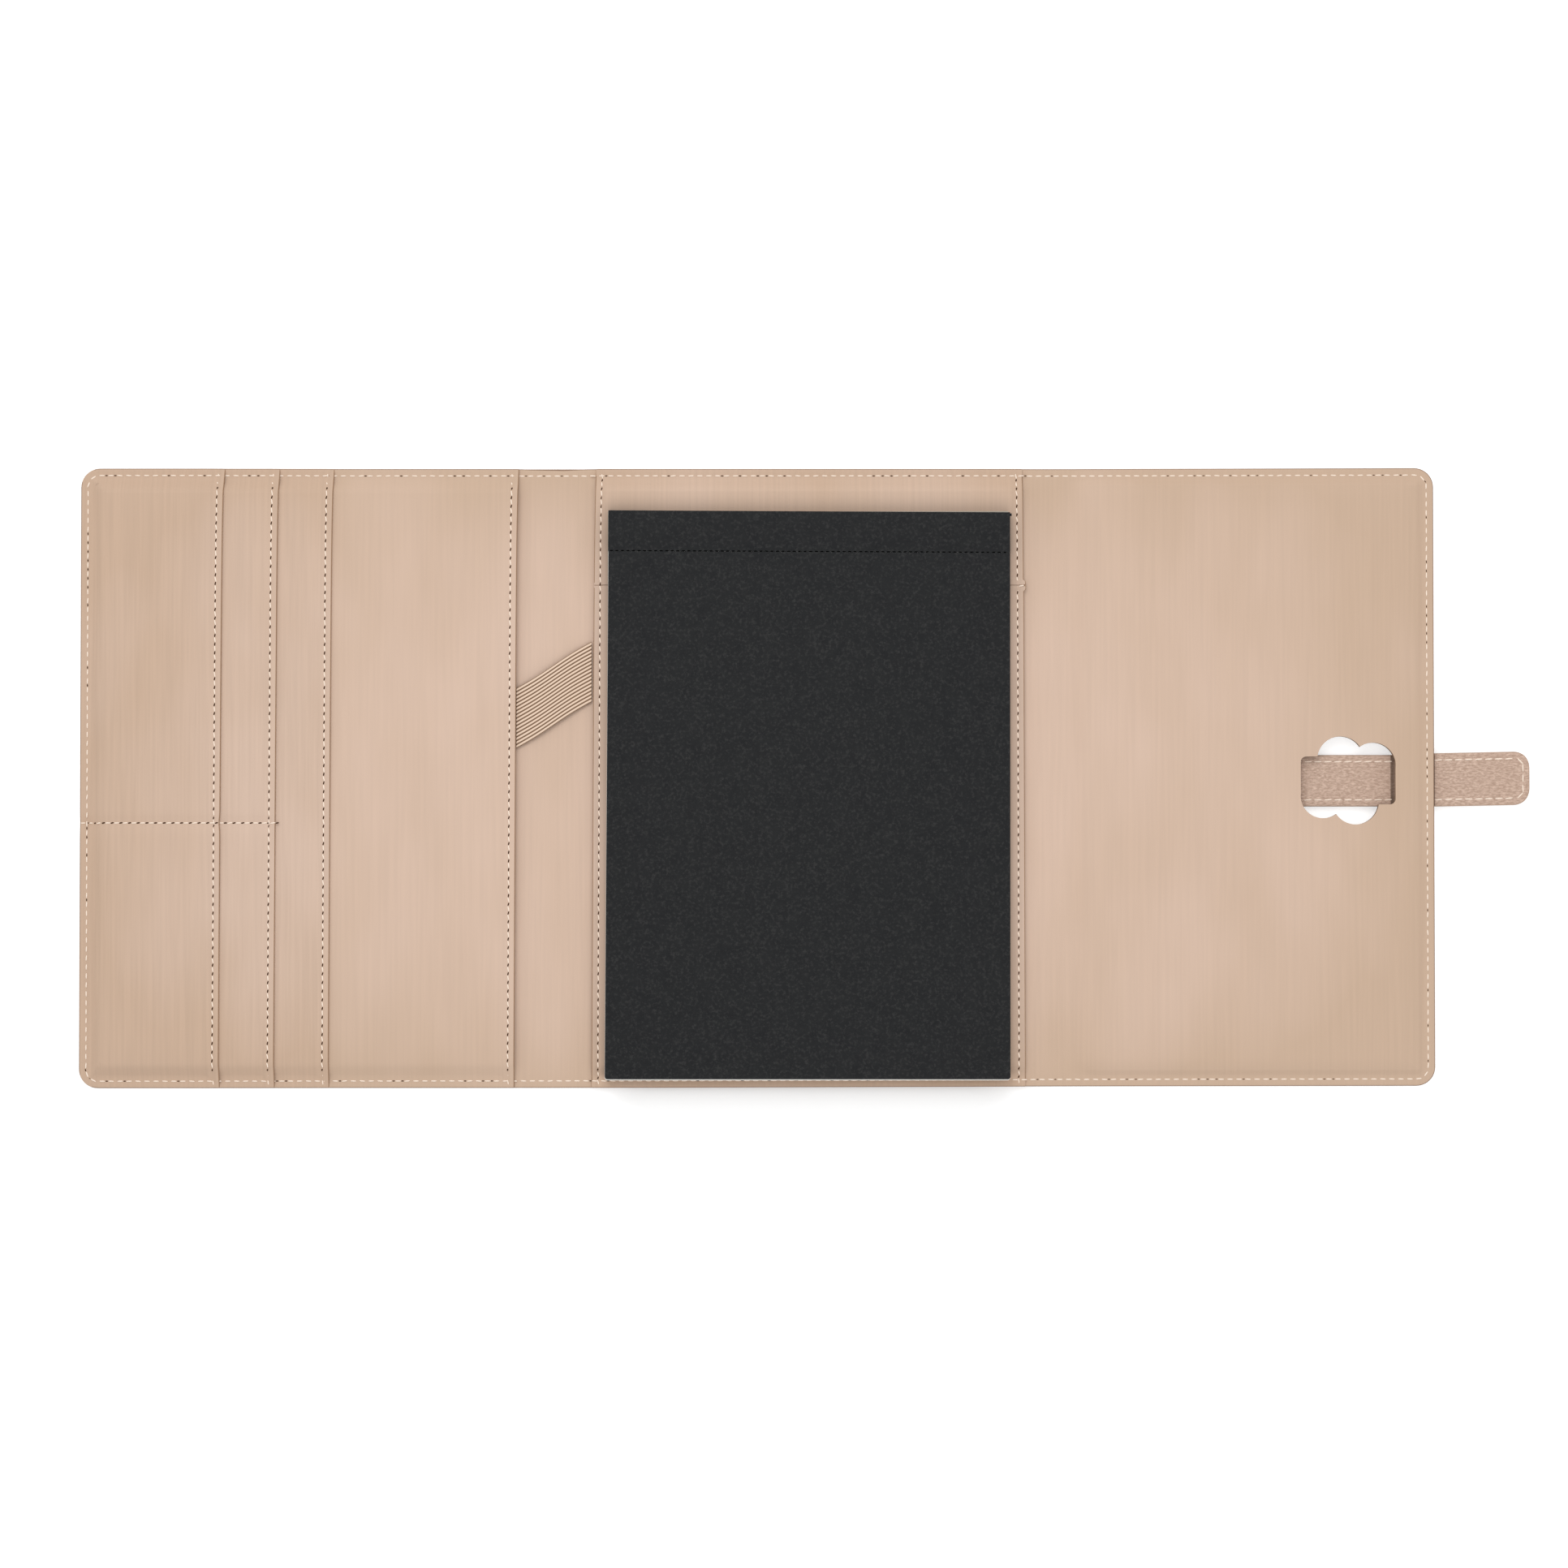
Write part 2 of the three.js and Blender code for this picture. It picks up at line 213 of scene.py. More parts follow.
def texture(tree, kind, source, stretch, **settings):
    """A procedural texture on a coordinate that is stretched first, which sets its scale."""
    mapping = tree.nodes.new("ShaderNodeMapping")
    mapping.inputs["Scale"].default_value = stretch
    tree.links.new(source, mapping.inputs["Vector"])
    node = tree.nodes.new(kind)
    tree.links.new(mapping.outputs["Vector"], node.inputs["Vector"])
    for name, value in {"Scale": 1.0, **settings}.items():
        if name in node.inputs:
            node.inputs[name].default_value = value
        else:
            setattr(node, name, value)
    return node


def blended(tree, share, first, second):
    """First where the share is 0, second where it is 1. The share is a socket, and each of the two may be
    a colour or a socket."""
    mix = tree.nodes.new("ShaderNodeMix")
    mix.data_type = "RGBA"
    for socket, value in ((mix.inputs[6], first), (mix.inputs[7], second)):
        if isinstance(value, tuple):
            socket.default_value = value
        else:
            tree.links.new(value, socket)
    tree.links.new(share, mix.inputs[0])
    return mix.outputs[2]


def ranged(tree, source, low, high, out_low=0.0, out_high=1.0):
    """A value spread from low..high to another range, and held inside it."""
    spread = tree.nodes.new("ShaderNodeMapRange")
    spread.inputs["From Min"].default_value = low
    spread.inputs["From Max"].default_value = high
    spread.inputs["To Min"].default_value = out_low
    spread.inputs["To Max"].default_value = out_high
    tree.links.new(source, spread.inputs["Value"])
    return spread.outputs["Result"]


def bumped(tree, source, height, strength, under=None):
    """A bump of that height in metres, over another bump if there is one."""
    bump = tree.nodes.new("ShaderNodeBump")
    bump.inputs["Distance"].default_value = height
    bump.inputs["Strength"].default_value = strength
    tree.links.new(source, bump.inputs["Height"])
    if under is not None:
        tree.links.new(under, bump.inputs["Normal"])
    return bump.outputs["Normal"]


def new_finish(name, roughness, sheen=0.3, coordinate="UV"):
    """An empty finish with its shader, and the coordinate of its pattern: the one that lies flat on the
    leather, or for a solid piece its place, which is Object."""
    finish = bpy.data.materials.new(name)
    finish.use_nodes = True
    tree = finish.node_tree
    shader = tree.nodes["Principled BSDF"]
    shader.inputs["Roughness"].default_value = roughness
    shader.inputs["Specular IOR Level"].default_value = sheen
    place = tree.nodes.new("ShaderNodeTexCoord").outputs[coordinate]
    return finish, tree, shader, place


pebble_wander = 0.0022
# The brown of the painted shadow lines where the strap passes under an edge.
painted_shadow_brown = dye(78, 58, 44)


def grained_leather(name, light, dark, crease, painted_shade=()):
    """Pebbled leather with creases that run along the strap. The last argument lists the places along it
    where a line of painted shadow lies, where an edge stands over the strap, and each line's width."""
    finish, tree, shader, place = new_finish(name, 0.62)
    wander = texture(tree, "ShaderNodeTexNoise", place, (260, 420, 1), Detail=3.0)
    shifted = tree.nodes.new("ShaderNodeMixRGB")
    shifted.blend_type = "ADD"
    shifted.inputs["Fac"].default_value = pebble_wander
    tree.links.new(place, shifted.inputs["Color1"])
    tree.links.new(wander.outputs["Color"], shifted.inputs["Color2"])
    cells = texture(
        tree, "ShaderNodeTexVoronoi", shifted.outputs["Color"], (560, 1250, 1), feature="DISTANCE_TO_EDGE",
    )
    pebble = ranged(tree, cells.outputs["Distance"], 0.0, 0.28)
    wrinkle = texture(tree, "ShaderNodeTexNoise", place, (560, 1650, 1), Detail=2.0, Roughness=0.6)
    lines = ranged(tree, wrinkle.outputs["Fac"], 0.4, 0.6)
    cloud = texture(tree, "ShaderNodeTexNoise", place, (30, 30, 1), Detail=2.0)
    body = blended(tree, ranged(tree, cloud.outputs["Fac"], 0.3, 0.7), dark, light)
    # The creases and the pebbles' edges are darkened towards the crease colour: partly the grain's own
    # tone, partly painted shade in the hollows.
    streaked = blended(tree, ranged(tree, lines, 0.0, 1.0, 0.5, 0.0), body, crease)
    coloured = blended(tree, ranged(tree, pebble, 0.0, 1.0, 0.25, 0.0), streaked, crease)
    apart = tree.nodes.new("ShaderNodeSeparateXYZ")
    tree.links.new(place, apart.inputs["Vector"])
    # Painted shadow: a dark brown line at each listed place along the strap.
    for line_x, width in painted_shade:
        near = worked(tree, "COMPARE", apart.outputs["X"], line_x, width / 2)
        coloured = blended(tree, ranged(tree, near, 0.0, 1.0, 0.0, 0.75), coloured, painted_shadow_brown)
    tree.links.new(coloured, shader.inputs["Base Color"])
    tree.links.new(ranged(tree, pebble, 0.0, 1.0, 0.78, 0.56), shader.inputs["Roughness"])
    low_bump = bumped(tree, lines, 0.09 * mm, 0.7)
    tree.links.new(bumped(tree, pebble, 0.035 * mm, 0.7, low_bump), shader.inputs["Normal"])
    return finish


def edge_stain_and_shade(name, colour):
    """The polished cut edge of a skin, in a brown that is partly stain and partly painted shade."""
    finish, tree, shader, place = new_finish(name, 0.5)
    fibre = texture(tree, "ShaderNodeTexNoise", place, (500, 500, 1), Detail=3.0)
    pale = tuple(min(1.0, c * 1.35) for c in colour[:3]) + (1,)
    tree.links.new(blended(tree, fibre.outputs["Fac"], colour, pale), shader.inputs["Base Color"])
    tree.links.new(bumped(tree, fibre.outputs["Fac"], 0.04 * mm, 0.5), shader.inputs["Normal"])
    return finish


def smooth_step(share):
    """0 below 0, 1 above 1 and an even S between."""
    held = np.clip(share, 0, 1)
    return held * held * (3 - 2 * held)


def steps(start, end, pitch):
    """Places from start to end, an even pitch apart."""
    count = max(1, round((end - start) / pitch))
    return [start + (end - start) * i / count for i in range(count + 1)]


def take_up(obj):
    """Selects this piece alone, and makes it the active one."""
    bpy.ops.object.select_all(action="DESELECT")
    obj.select_set(True)
    bpy.context.view_layer.objects.active = obj


def leather_sheet(name, left, right, low, high, radii, rings, cuts_x, cuts_y):
    """A flat cut of leather: round corners at the left and the right, rings that follow its edge, and
    cuts across it where it is to bend or rise."""
    bpy.ops.object.select_all(action="DESELECT")
    bpy.ops.mesh.primitive_plane_add(size=1, location=((left + right) / 2, (low + high) / 2, 0))
    sheet = bpy.context.object
    sheet.name = name
    sheet.scale = (right - left, high - low, 1)
    bpy.ops.object.transform_apply(location=True, rotation=True, scale=True)
    bpy.ops.object.mode_set(mode="EDIT")
    for side, radius in zip((left, right), radii):
        if radius == 0:
            continue
        bpy.ops.mesh.select_mode(type="VERT")
        bpy.ops.mesh.select_all(action="DESELECT")
        bpy.ops.object.mode_set(mode="OBJECT")
        for vertex in sheet.data.vertices:
            vertex.select = abs(vertex.co.x - side) < touching
        bpy.ops.object.mode_set(mode="EDIT")
        bpy.ops.mesh.bevel(offset=radius, segments=10, affect="VERTICES")
    bpy.ops.mesh.select_mode(type="FACE")
    bpy.ops.mesh.select_all(action="SELECT")
    for width in rings:
        bpy.ops.mesh.inset(thickness=width)
    for axis, places in ((0, cuts_x), (1, cuts_y)):
        for place in places:
            bpy.ops.mesh.select_all(action="SELECT")
            point = [0, 0, 0]
            normal = [0, 0, 0]
            point[axis] = place
            normal[axis] = 1
            bpy.ops.mesh.bisect(plane_co=point, plane_no=normal)
    bpy.ops.mesh.select_all(action="SELECT")
    bpy.ops.mesh.remove_doubles(threshold=weld_reach)
    bpy.ops.object.mode_set(mode="OBJECT")
    return sheet


def points_of(obj):
    """The piece's points, one row each."""
    points = np.empty(len(obj.data.vertices) * 3)
    obj.data.vertices.foreach_get("co", points)
    return points.reshape(-1, 3)


def place_points(obj, points):
    """Moves the piece's points."""
    obj.data.vertices.foreach_set("co", points.ravel())
    obj.data.update()


def finish_with(obj, kind, **settings):
    """Adds a modifier to the piece and applies it."""
    take_up(obj)
    modifier = obj.modifiers.new(kind.lower(), kind)
    for name, value in settings.items():
        setattr(modifier, name, value)
    bpy.ops.object.modifier_apply(modifier=modifier.name)


def thicken(sheet, thickness, face_finish, edge_finish):
    """Gives a sheet its thickness, downwards, with the edge colour on its cut edge: stain and painted
    shade.
    """
    sheet.data.materials.append(face_finish)
    sheet.data.materials.append(edge_finish)
    finish_with(sheet, "SOLIDIFY", thickness=thickness, offset=-1, material_offset_rim=1)


def round_edges(sheet, rounding=edge_rounding):
    """Rounds the cut edges, and spreads their edge colour, stain and painted shade, over the rounding."""
    finish_with(
        sheet, "BEVEL", width=rounding, segments=3, limit_method="ANGLE", angle_limit=math.radians(50),
        use_clamp_overlap=False, material=1,
    )


def part_of(whole, name, left, right):
    """A copy of the whole skin between two places along the folder, closed at its ends."""
    piece = whole.copy()
    piece.data = whole.data.copy()
    piece.name = name
    bpy.context.collection.objects.link(piece)
    take_up(piece)
    bpy.ops.object.mode_set(mode="EDIT")
    for place, side in ((left, -1), (right, 1)):
        if place is None:
            continue
        bpy.ops.mesh.select_all(action="SELECT")
        bpy.ops.mesh.bisect(
            plane_co=(place, 0, 0), plane_no=(side, 0, 0), use_fill=True, clear_outer=True,
        )
    bpy.ops.object.mode_set(mode="OBJECT")
    return piece


def draw_in(obj):
    """Draws the folder's lower edge in, more and more towards its right end, as it was cut."""
    points = points_of(obj)
    along = np.clip((points[:, 0] - spine_middle) / (folder_right - spine_middle), 0, 1)
    points[:, 1] += edge_rise * along * np.clip(-points[:, 1] / folder_half, 0, 1) ** 2
    place_points(obj, points)


def raise_flap(obj):
    """Turns all that lies past the flap's fold up about it, as the flap rests on its strap."""
    points = points_of(obj)
    past = points[:, 0] > flap_axis
    across = points[past, 0] - flap_axis
    height = points[past, 2]
    points[past, 0] = flap_axis + across * math.cos(flap_tilt) - height * math.sin(flap_tilt)
    points[past, 2] = across * math.sin(flap_tilt) + height * math.cos(flap_tilt)
    place_points(obj, points)


def lay_pattern(obj):
    """Writes each point's place on the flat leather into the piece's own map, so that the grain keeps to
    the leather where it bends."""
    for layer in list(obj.data.uv_layers):
        obj.data.uv_layers.remove(layer)
    layer = obj.data.uv_layers.new(name="leather")
    points = points_of(obj)
    corners = np.empty(len(obj.data.loops), int)
    obj.data.loops.foreach_get("vertex_index", corners)
    layer.data.foreach_set("uv", points[corners, :2].ravel())


def shade(obj, degrees=40):
    """Soft shading, with edges sharper than the angle kept."""
    take_up(obj)
    bpy.ops.object.shade_smooth_by_angle(angle=math.radians(degrees))


# Where each fold starts and ends, where the skins are parted out of sight, and what each part bends with
cover_bend = (cover_high.x - 5.2 * mm, cover_high.x + 5.3 * mm)
spine_bend = (centre_low.x - 5.3 * mm, centre_low.x + 5.6 * mm)
flap_bend = (flap_axis - 11.6 * mm, flap_axis + 11.6 * mm)
spine_middle = (spine_low.x + spine_high.x) / 2
centre_middle = 10 * mm
fold_cuts = (
    steps(cover_bend[0], cover_bend[1], fold_pitch)
    + steps(spine_bend[0], spine_bend[1], fold_pitch)
    + steps(flap_bend[0], flap_bend[1], flap_fold_pitch)
)
skin_bodies = [
    ("left", None, spine_middle, "left_cover", "spine", cover_bend),
    ("middle", spine_middle, centre_middle, "spine", "centre", spine_bend),
    ("right", centre_middle, None, "centre", "right_flap", flap_bend),
]
# Each edge colour is partly a brown stain and partly painted shade: the shadow along the outline and the
# pockets' mouths, and deeper in the window.
outline_edge = edge_stain_and_shade("outline_edge", dye(132, 104, 84))
mouth_edge = edge_stain_and_shade("mouth_edge", dye(146, 116, 92))
window_edge = edge_stain_and_shade("window_edge", dye(116, 90, 70))
outside_leather = grained_leather(
    "outside_leather", dye(212, 185, 166), dye(204, 176, 157), dye(150, 121, 102),
)

# The lobed window goes through the flap's skins: a slot for the strap and two round lobes on each side
window_x = flap_axis + 107.3 * mm
window_y = -1 * mm
window_half = (17.4 * mm, 8.85 * mm)
window_corner = 2 * mm
window_lobes = [(-2.75 * mm, 7.7 * mm, 8.55 * mm), (9.2 * mm, 5.7 * mm, 8.25 * mm)]
cutter_depth = 30 * mm
lobe_depth = 27 * mm


def round_upright_edges(block, radius, segments, below=math.inf):
    """Rounds a block's upright edges, or only those below a place up the folder."""
    bpy.ops.object.mode_set(mode="EDIT")
    bpy.ops.mesh.select_mode(type="EDGE")
    bpy.ops.mesh.select_all(action="DESELECT")
    bpy.ops.object.mode_set(mode="OBJECT")
    for edge in block.data.edges:
        first, second = [block.data.vertices[v].co for v in edge.vertices]
        upright = abs(first.x - second.x) + abs(first.y - second.y) < touching
        edge.select = upright and first.y < below
    bpy.ops.object.mode_set(mode="EDIT")
    bpy.ops.mesh.bevel(offset=radius, segments=segments, affect="EDGES")
    bpy.ops.object.mode_set(mode="OBJECT")


def window_punch():
    """The punch that cuts the window, with the colour on it that the cut edge keeps: a stain, made darker
    as painted shade for the shadow inside the window.
    """
    bpy.ops.object.select_all(action="DESELECT")
    bpy.ops.mesh.primitive_cube_add(size=1, location=(window_x, window_y, 0))
    punch = bpy.context.object
    punch.scale = (2 * window_half[0], 2 * window_half[1], cutter_depth)
    bpy.ops.object.transform_apply(location=True, rotation=True, scale=True)
    round_upright_edges(punch, window_corner, 8)
    for turn in (1, -1):
        for x, y, radius in window_lobes:
            bpy.ops.object.select_all(action="DESELECT")
            bpy.ops.mesh.primitive_cylinder_add(
                vertices=96, radius=radius, depth=lobe_depth,
                location=(window_x + turn * x, window_y + turn * y, 0),
            )
            lobe = bpy.context.object
            bpy.ops.object.transform_apply(location=True, rotation=True, scale=True)
            finish_with(punch, "BOOLEAN", object=lobe, operation="UNION", solver="EXACT")
            bpy.data.objects.remove(lobe)
    punch.data.materials.clear()
    punch.data.materials.append(window_edge)
    return punch


def cut_window(obj):
    """Cuts the window through a skin."""
    punch = window_punch()
    finish_with(
        obj, "BOOLEAN", object=punch, operation="DIFFERENCE", solver="EXACT", material_mode="TRANSFER",
    )
    bpy.data.objects.remove(punch)


outer_whole = leather_sheet(
    "outer_whole", folder_left, folder_right, -folder_half, folder_half,
    (corner_radius, corner_radius), outer_rings,
    steps(folder_left, folder_right, outer_pitch[0])[1:-1] + fold_cuts,
    steps(-folder_half, folder_half, outer_pitch[1])[1:-1],
)
points = points_of(outer_whole)
points[:, 2] = skin
place_points(outer_whole, points)
thicken(outer_whole, skin, outside_leather, outline_edge)
round_edges(outer_whole)
cut_window(outer_whole)
outer_nodes = {"left": ["cover_outer", "spine_outer"], "middle": ["spine_outer", "centre_outer"],
               "right": ["centre_outer", "flap_outer"]}
for side, start, end, body_a, body_b, bend in skin_bodies:
    piece = part_of(outer_whole, f"outer_skin_{side}", start, end)
    lay_pattern(piece)
    draw_in(piece)
    raise_flap(piece)
    shade(piece)
    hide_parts(*outer_nodes[side])
    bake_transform(piece)
bpy.data.objects.remove(outer_whole)


# The boards are grey millboard, glued between the skins. They stay inside, and only their cut edge
# shows in the window.
millboard, tree, shader, place = new_finish("millboard", 0.9, 0.5, "Object")
pulp = texture(tree, "ShaderNodeTexNoise", place, (600, 600, 2400), Detail=4.0)
tree.links.new(
    blended(tree, pulp.outputs["Fac"], dye(140, 116, 96), dye(172, 147, 124)), shader.inputs["Base Color"],
)
tree.links.new(bumped(tree, pulp.outputs["Fac"], 0.1 * mm, 0.5), shader.inputs["Normal"])
for board in ("cover_board", "centre_board", "flap_board"):
    frame["nodes"][board].data.materials.clear()
    frame["nodes"][board].data.materials.append(millboard)


# The lining is one smooth skin over the boards. It lies flat along the seams and in the folds, and
# rises over each board; the window goes through it too.
lining_skin = 0.78 * mm
seam_top = 1.8 * mm
board_rise = 1.5 * mm
seam_reach = 4.6 * mm
flap_seam_reach = 3.5 * mm
rise_run = 3.4 * mm
flap_seam_run = 20 * mm
lining_pitch = (12 * mm, 11 * mm)
top_dip = 0.5 * mm
top_dip_half = 8 * mm
sand_half = {"X": 258 * mm, "Y": 119 * mm}
# How much painted shade darkens the sleeves' leather beside the pad, for the pad's shadow.
pad_shade_depth = 0.38

# Over each board: its left and right ends, how far in the rise starts and how long it is at the left, and
# how far in it starts at the right
board_rises = [
    (folder_left, cover_high.x + 3.6 * mm, seam_reach, rise_run, seam_reach),
    (centre_low.x - 4.2 * mm, flap_axis - 11 * mm, seam_reach, rise_run, 2 * mm),
    (flap_axis + 0.2 * mm, folder_right, 4 * mm, 11 * mm, flap_seam_reach),
]


def darkened(tree, colour, share):
    """A colour with that share of it taken away."""
    less = tree.nodes.new("ShaderNodeVectorMath")
    less.operation = "SCALE"
    less.inputs["Scale"].default_value = 1 - share
    tree.links.new(colour, less.inputs[0])
    return less.outputs[0]


def smooth_leather(name, pink, sand, brushed):
    """Smooth leather: pinker inside the folder and darker and sandier towards its outline, with faint
    marks of brushing up and down it and fine pores. Painted shade darkens it beside the pad, for the pad's
    shadow."""
    finish, tree, shader, place = new_finish(name, 0.6, 0.25)
    apart = tree.nodes.new("ShaderNodeSeparateXYZ")
    tree.links.new(place, apart.inputs["Vector"])
    outward = []
    for axis, middle in (("X", (folder_left + folder_right) / 2), ("Y", 0.0)):
        centred = worked(tree, "SUBTRACT", apart.outputs[axis], middle)
        size = worked(tree, "ABSOLUTE", worked(tree, "DIVIDE", centred, sand_half[axis]))
        outward.append(worked(tree, "POWER", size, 4.0))
    cloud = texture(tree, "ShaderNodeTexNoise", place, (26, 13, 1), Detail=2.0)
    patchy = ranged(tree, cloud.outputs["Fac"], 0.34, 0.66, -0.1, 0.35)
    towards_edge = worked(tree, "ADD", worked(tree, "ADD", *outward), patchy)
    towards_edge.node.use_clamp = True
    toned = blended(tree, towards_edge, pink, sand)
    marks = texture(tree, "ShaderNodeTexNoise", place, (760, 18, 1), Detail=3.0, Roughness=0.6)
    streak = ranged(tree, marks.outputs["Fac"], 0.36, 0.64)
    streaked = blended(tree, streak, toned, darkened(tree, toned, brushed))
    # Painted shade: darker where the piece's attribute marks the pad's shadow beside it.
    beside_pad = tree.nodes.new("ShaderNodeAttribute")
    beside_pad.attribute_name = "beside_pad"
    coloured = blended(tree, beside_pad.outputs["Fac"], streaked, darkened(tree, streaked, pad_shade_depth))
    tree.links.new(coloured, shader.inputs["Base Color"])
    tree.links.new(ranged(tree, marks.outputs["Fac"], 0.3, 0.7, 0.66, 0.54), shader.inputs["Roughness"])
    pores = texture(tree, "ShaderNodeTexVoronoi", place, (1900, 1900, 1), feature="DISTANCE_TO_EDGE")
    soft = bumped(tree, marks.outputs["Fac"], 0.03 * mm, 0.4)
    fine = bumped(tree, ranged(tree, pores.outputs["Distance"], 0.0, 0.3), 0.02 * mm, 0.35, soft)
    tree.links.new(fine, shader.inputs["Normal"])
    return finish


def ridge(place, middle, half):
    """1 at the middle and soft on both sides, almost 0 at twice the half width."""
    return np.exp(-(((place - middle) / half) ** 2))


def lining_top(points):
    """The height of the lining's top over the seams, folds and boards."""
    x = points[:, 0]
    on_flap = smooth_step((x - flap_axis) / flap_seam_run)
    reach = seam_reach + (flap_seam_reach - seam_reach) * on_flap
    up = smooth_step((folder_half - np.abs(points[:, 1]) - reach) / rise_run)
    along = np.zeros(len(x))
    for left, right, left_reach, left_run, right_reach in board_rises:
        on = smooth_step((x - left - left_reach) / left_run)
        off = smooth_step((right - x - right_reach) / rise_run)
        along = np.maximum(along, on * off)
    return seam_top + board_rise * along * up


lining_leather = smooth_leather("lining_leather", dye(212, 185, 166), dye(198, 171, 148), 0.04)
lining_rings = (1.2 * mm, 1.4 * mm, 1.0 * mm, 1.0 * mm, 1.0 * mm, 0.9 * mm)
lining_whole = leather_sheet(
    "lining_whole", folder_left, folder_right, -folder_half, folder_half,
    (corner_radius, corner_radius), lining_rings,
    steps(folder_left, folder_right, lining_pitch[0])[1:-1] + fold_cuts,
    steps(-folder_half, folder_half, lining_pitch[1])[1:-1],
)
points = points_of(lining_whole)
points[:, 2] = lining_top(points)
near_spine = ridge(points[:, 0], spine_middle, top_dip_half)
points[:, 1] -= top_dip * near_spine * np.clip(points[:, 1] / folder_half, 0, 1) ** 8
place_points(lining_whole, points)
thicken(lining_whole, lining_skin, lining_leather, outline_edge)
round_edges(lining_whole)
cut_window(lining_whole)
lining_nodes = {"left": ["cover_lining", "spine_lining"], "middle": ["spine_lining", "centre_lining"],
                "right": ["centre_lining", "flap_lining"]}
for side, start, end, body_a, body_b, bend in skin_bodies:
    piece = part_of(lining_whole, f"lining_skin_{side}", start, end)
    lay_pattern(piece)
    draw_in(piece)
    raise_flap(piece)
    shade(piece)
    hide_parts(*lining_nodes[side])
    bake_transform(piece)
bpy.data.objects.remove(lining_whole)


# Four leather pockets are sewn down on the left cover along its outline, each over the last and
# shorter. Each mouth has a turned hem with a row of stitches, and the mouths lean a little.
pocket_sheet = 0.62 * mm
pocket_leather = smooth_leather("pocket_leather", dye(212, 186, 168), dye(198, 170, 147), 0.065)
divider_y = -16.7 * mm
divider_end = -195.45 * mm
hem_row = 2.4 * mm
press_reach = 2.4 * mm
edge_reach = 0.5 * mm
hem_drop = 0.4 * mm
past_rings = (7.1 * mm, 8.2 * mm, 9.6 * mm)
pocket_rings = (1.2 * mm, 1.4 * mm, 0.9 * mm, 0.9 * mm, 0.8 * mm)
sheet_pitch = 9 * mm
mouth_slope = 0.0035
mouth_flare = 0.65 * mm
mouth_flare_reach = 18 * mm
seam_row = 2.6 * mm
seam_rise_start = 3.4 * mm
pocket_rise_run = 6 * mm
pinch_half = 2.4 * mm
pinch_run = 3 * mm
mouth_press = 0.45 * mm
mouth_press_half = 2 * mm
mouth_press_start = 1.8 * mm
mouth_press_run = 1.4 * mm
divider_press = 0.55 * mm
divider_pull = 0.35 * mm
hem_width = 4 * mm
hem_cuts = (0.4, 0.8, 1.2, 1.6, 2.05, 2.4, 2.75, 3.4, 4.6)
divider_cuts = (-5, -3.4, -2.2, -1.2, -0.5, 0, 0.5, 1.2, 2.2, 3.4, 5)

# Each pocket's name and mouth, the height of its top at the outline's seam and inside it, and its leather
pocket_layers = [
    ("document_pocket", cover_high.x + 0.1 * mm, 2.3 * mm, 4.3 * mm, lining_leather),
    ("card_pocket_inner", -175.15 * mm, 2.8 * mm, 5.2 * mm, pocket_leather),
    ("card_pocket_middle", -195.2 * mm, 3.3 * mm, 6.1 * mm, pocket_leather),
    ("card_pocket_front", -215.45 * mm, 3.8 * mm, 7.0 * mm, pocket_leather),
]


def leaned(y):
    """How far the mouths and their rows stand to the right of their place, at a height up the folder."""
    return mouth_slope * y + mouth_flare * np.exp((y - folder_half) / mouth_flare_reach)


def pinched(x, y):
    """How far the divider's stitches pull the card pockets down."""
    return ridge(y, divider_y, pinch_half) * smooth_step((divider_end - x) / pinch_run)


def hem_relief(back):
    """How far a hem stands up, behind its mouth and pulled down along its row of stitches."""
    return 0.1 * mm * ridge(back, 1.2 * mm, 0.8 * mm) - 0.14 * mm * ridge(back, hem_row, 0.5 * mm)


def seam_groove(inward):
    """How far the outline's row of stitches is pulled down."""
    return 0.12 * mm * ridge(inward, seam_row, 0.6 * mm)


def pocket_top(layer, x, y):
    """The height of a pocket's top, over its seams, its hem and the divider's row."""
    _, mouth, at_seam, at_top, _ = pocket_layers[layer]
    inward = np.minimum(folder_half - np.abs(y), x - folder_left)
    height = at_seam + (at_top - at_seam) * smooth_step((inward - seam_rise_start) / pocket_rise_run)
    height += hem_relief(mouth - x)
    if layer > 0:
        pressed = 1 - smooth_step((inward - mouth_press_start) / mouth_press_run)
        height -= mouth_press * pressed * ridge(x, mouth, mouth_press_half)
    if layer > 1:
        height -= divider_press * pinched(x, y)
    return height - seam_groove(inward)


def press_ends(sheet):
    """Outside the outline's row the sheets are pressed together, and the edge colour, stain and painted
    shade, is on their outer edge.
    """
    sheet.data.materials.append(outline_edge)
    for face in sheet.data.polygons:
        inward = min(folder_half - abs(face.center.y), face.center.x - folder_left)
        if face.material_index == 1 and inward < press_reach:
            face.material_index = 2 if inward < edge_reach else 0


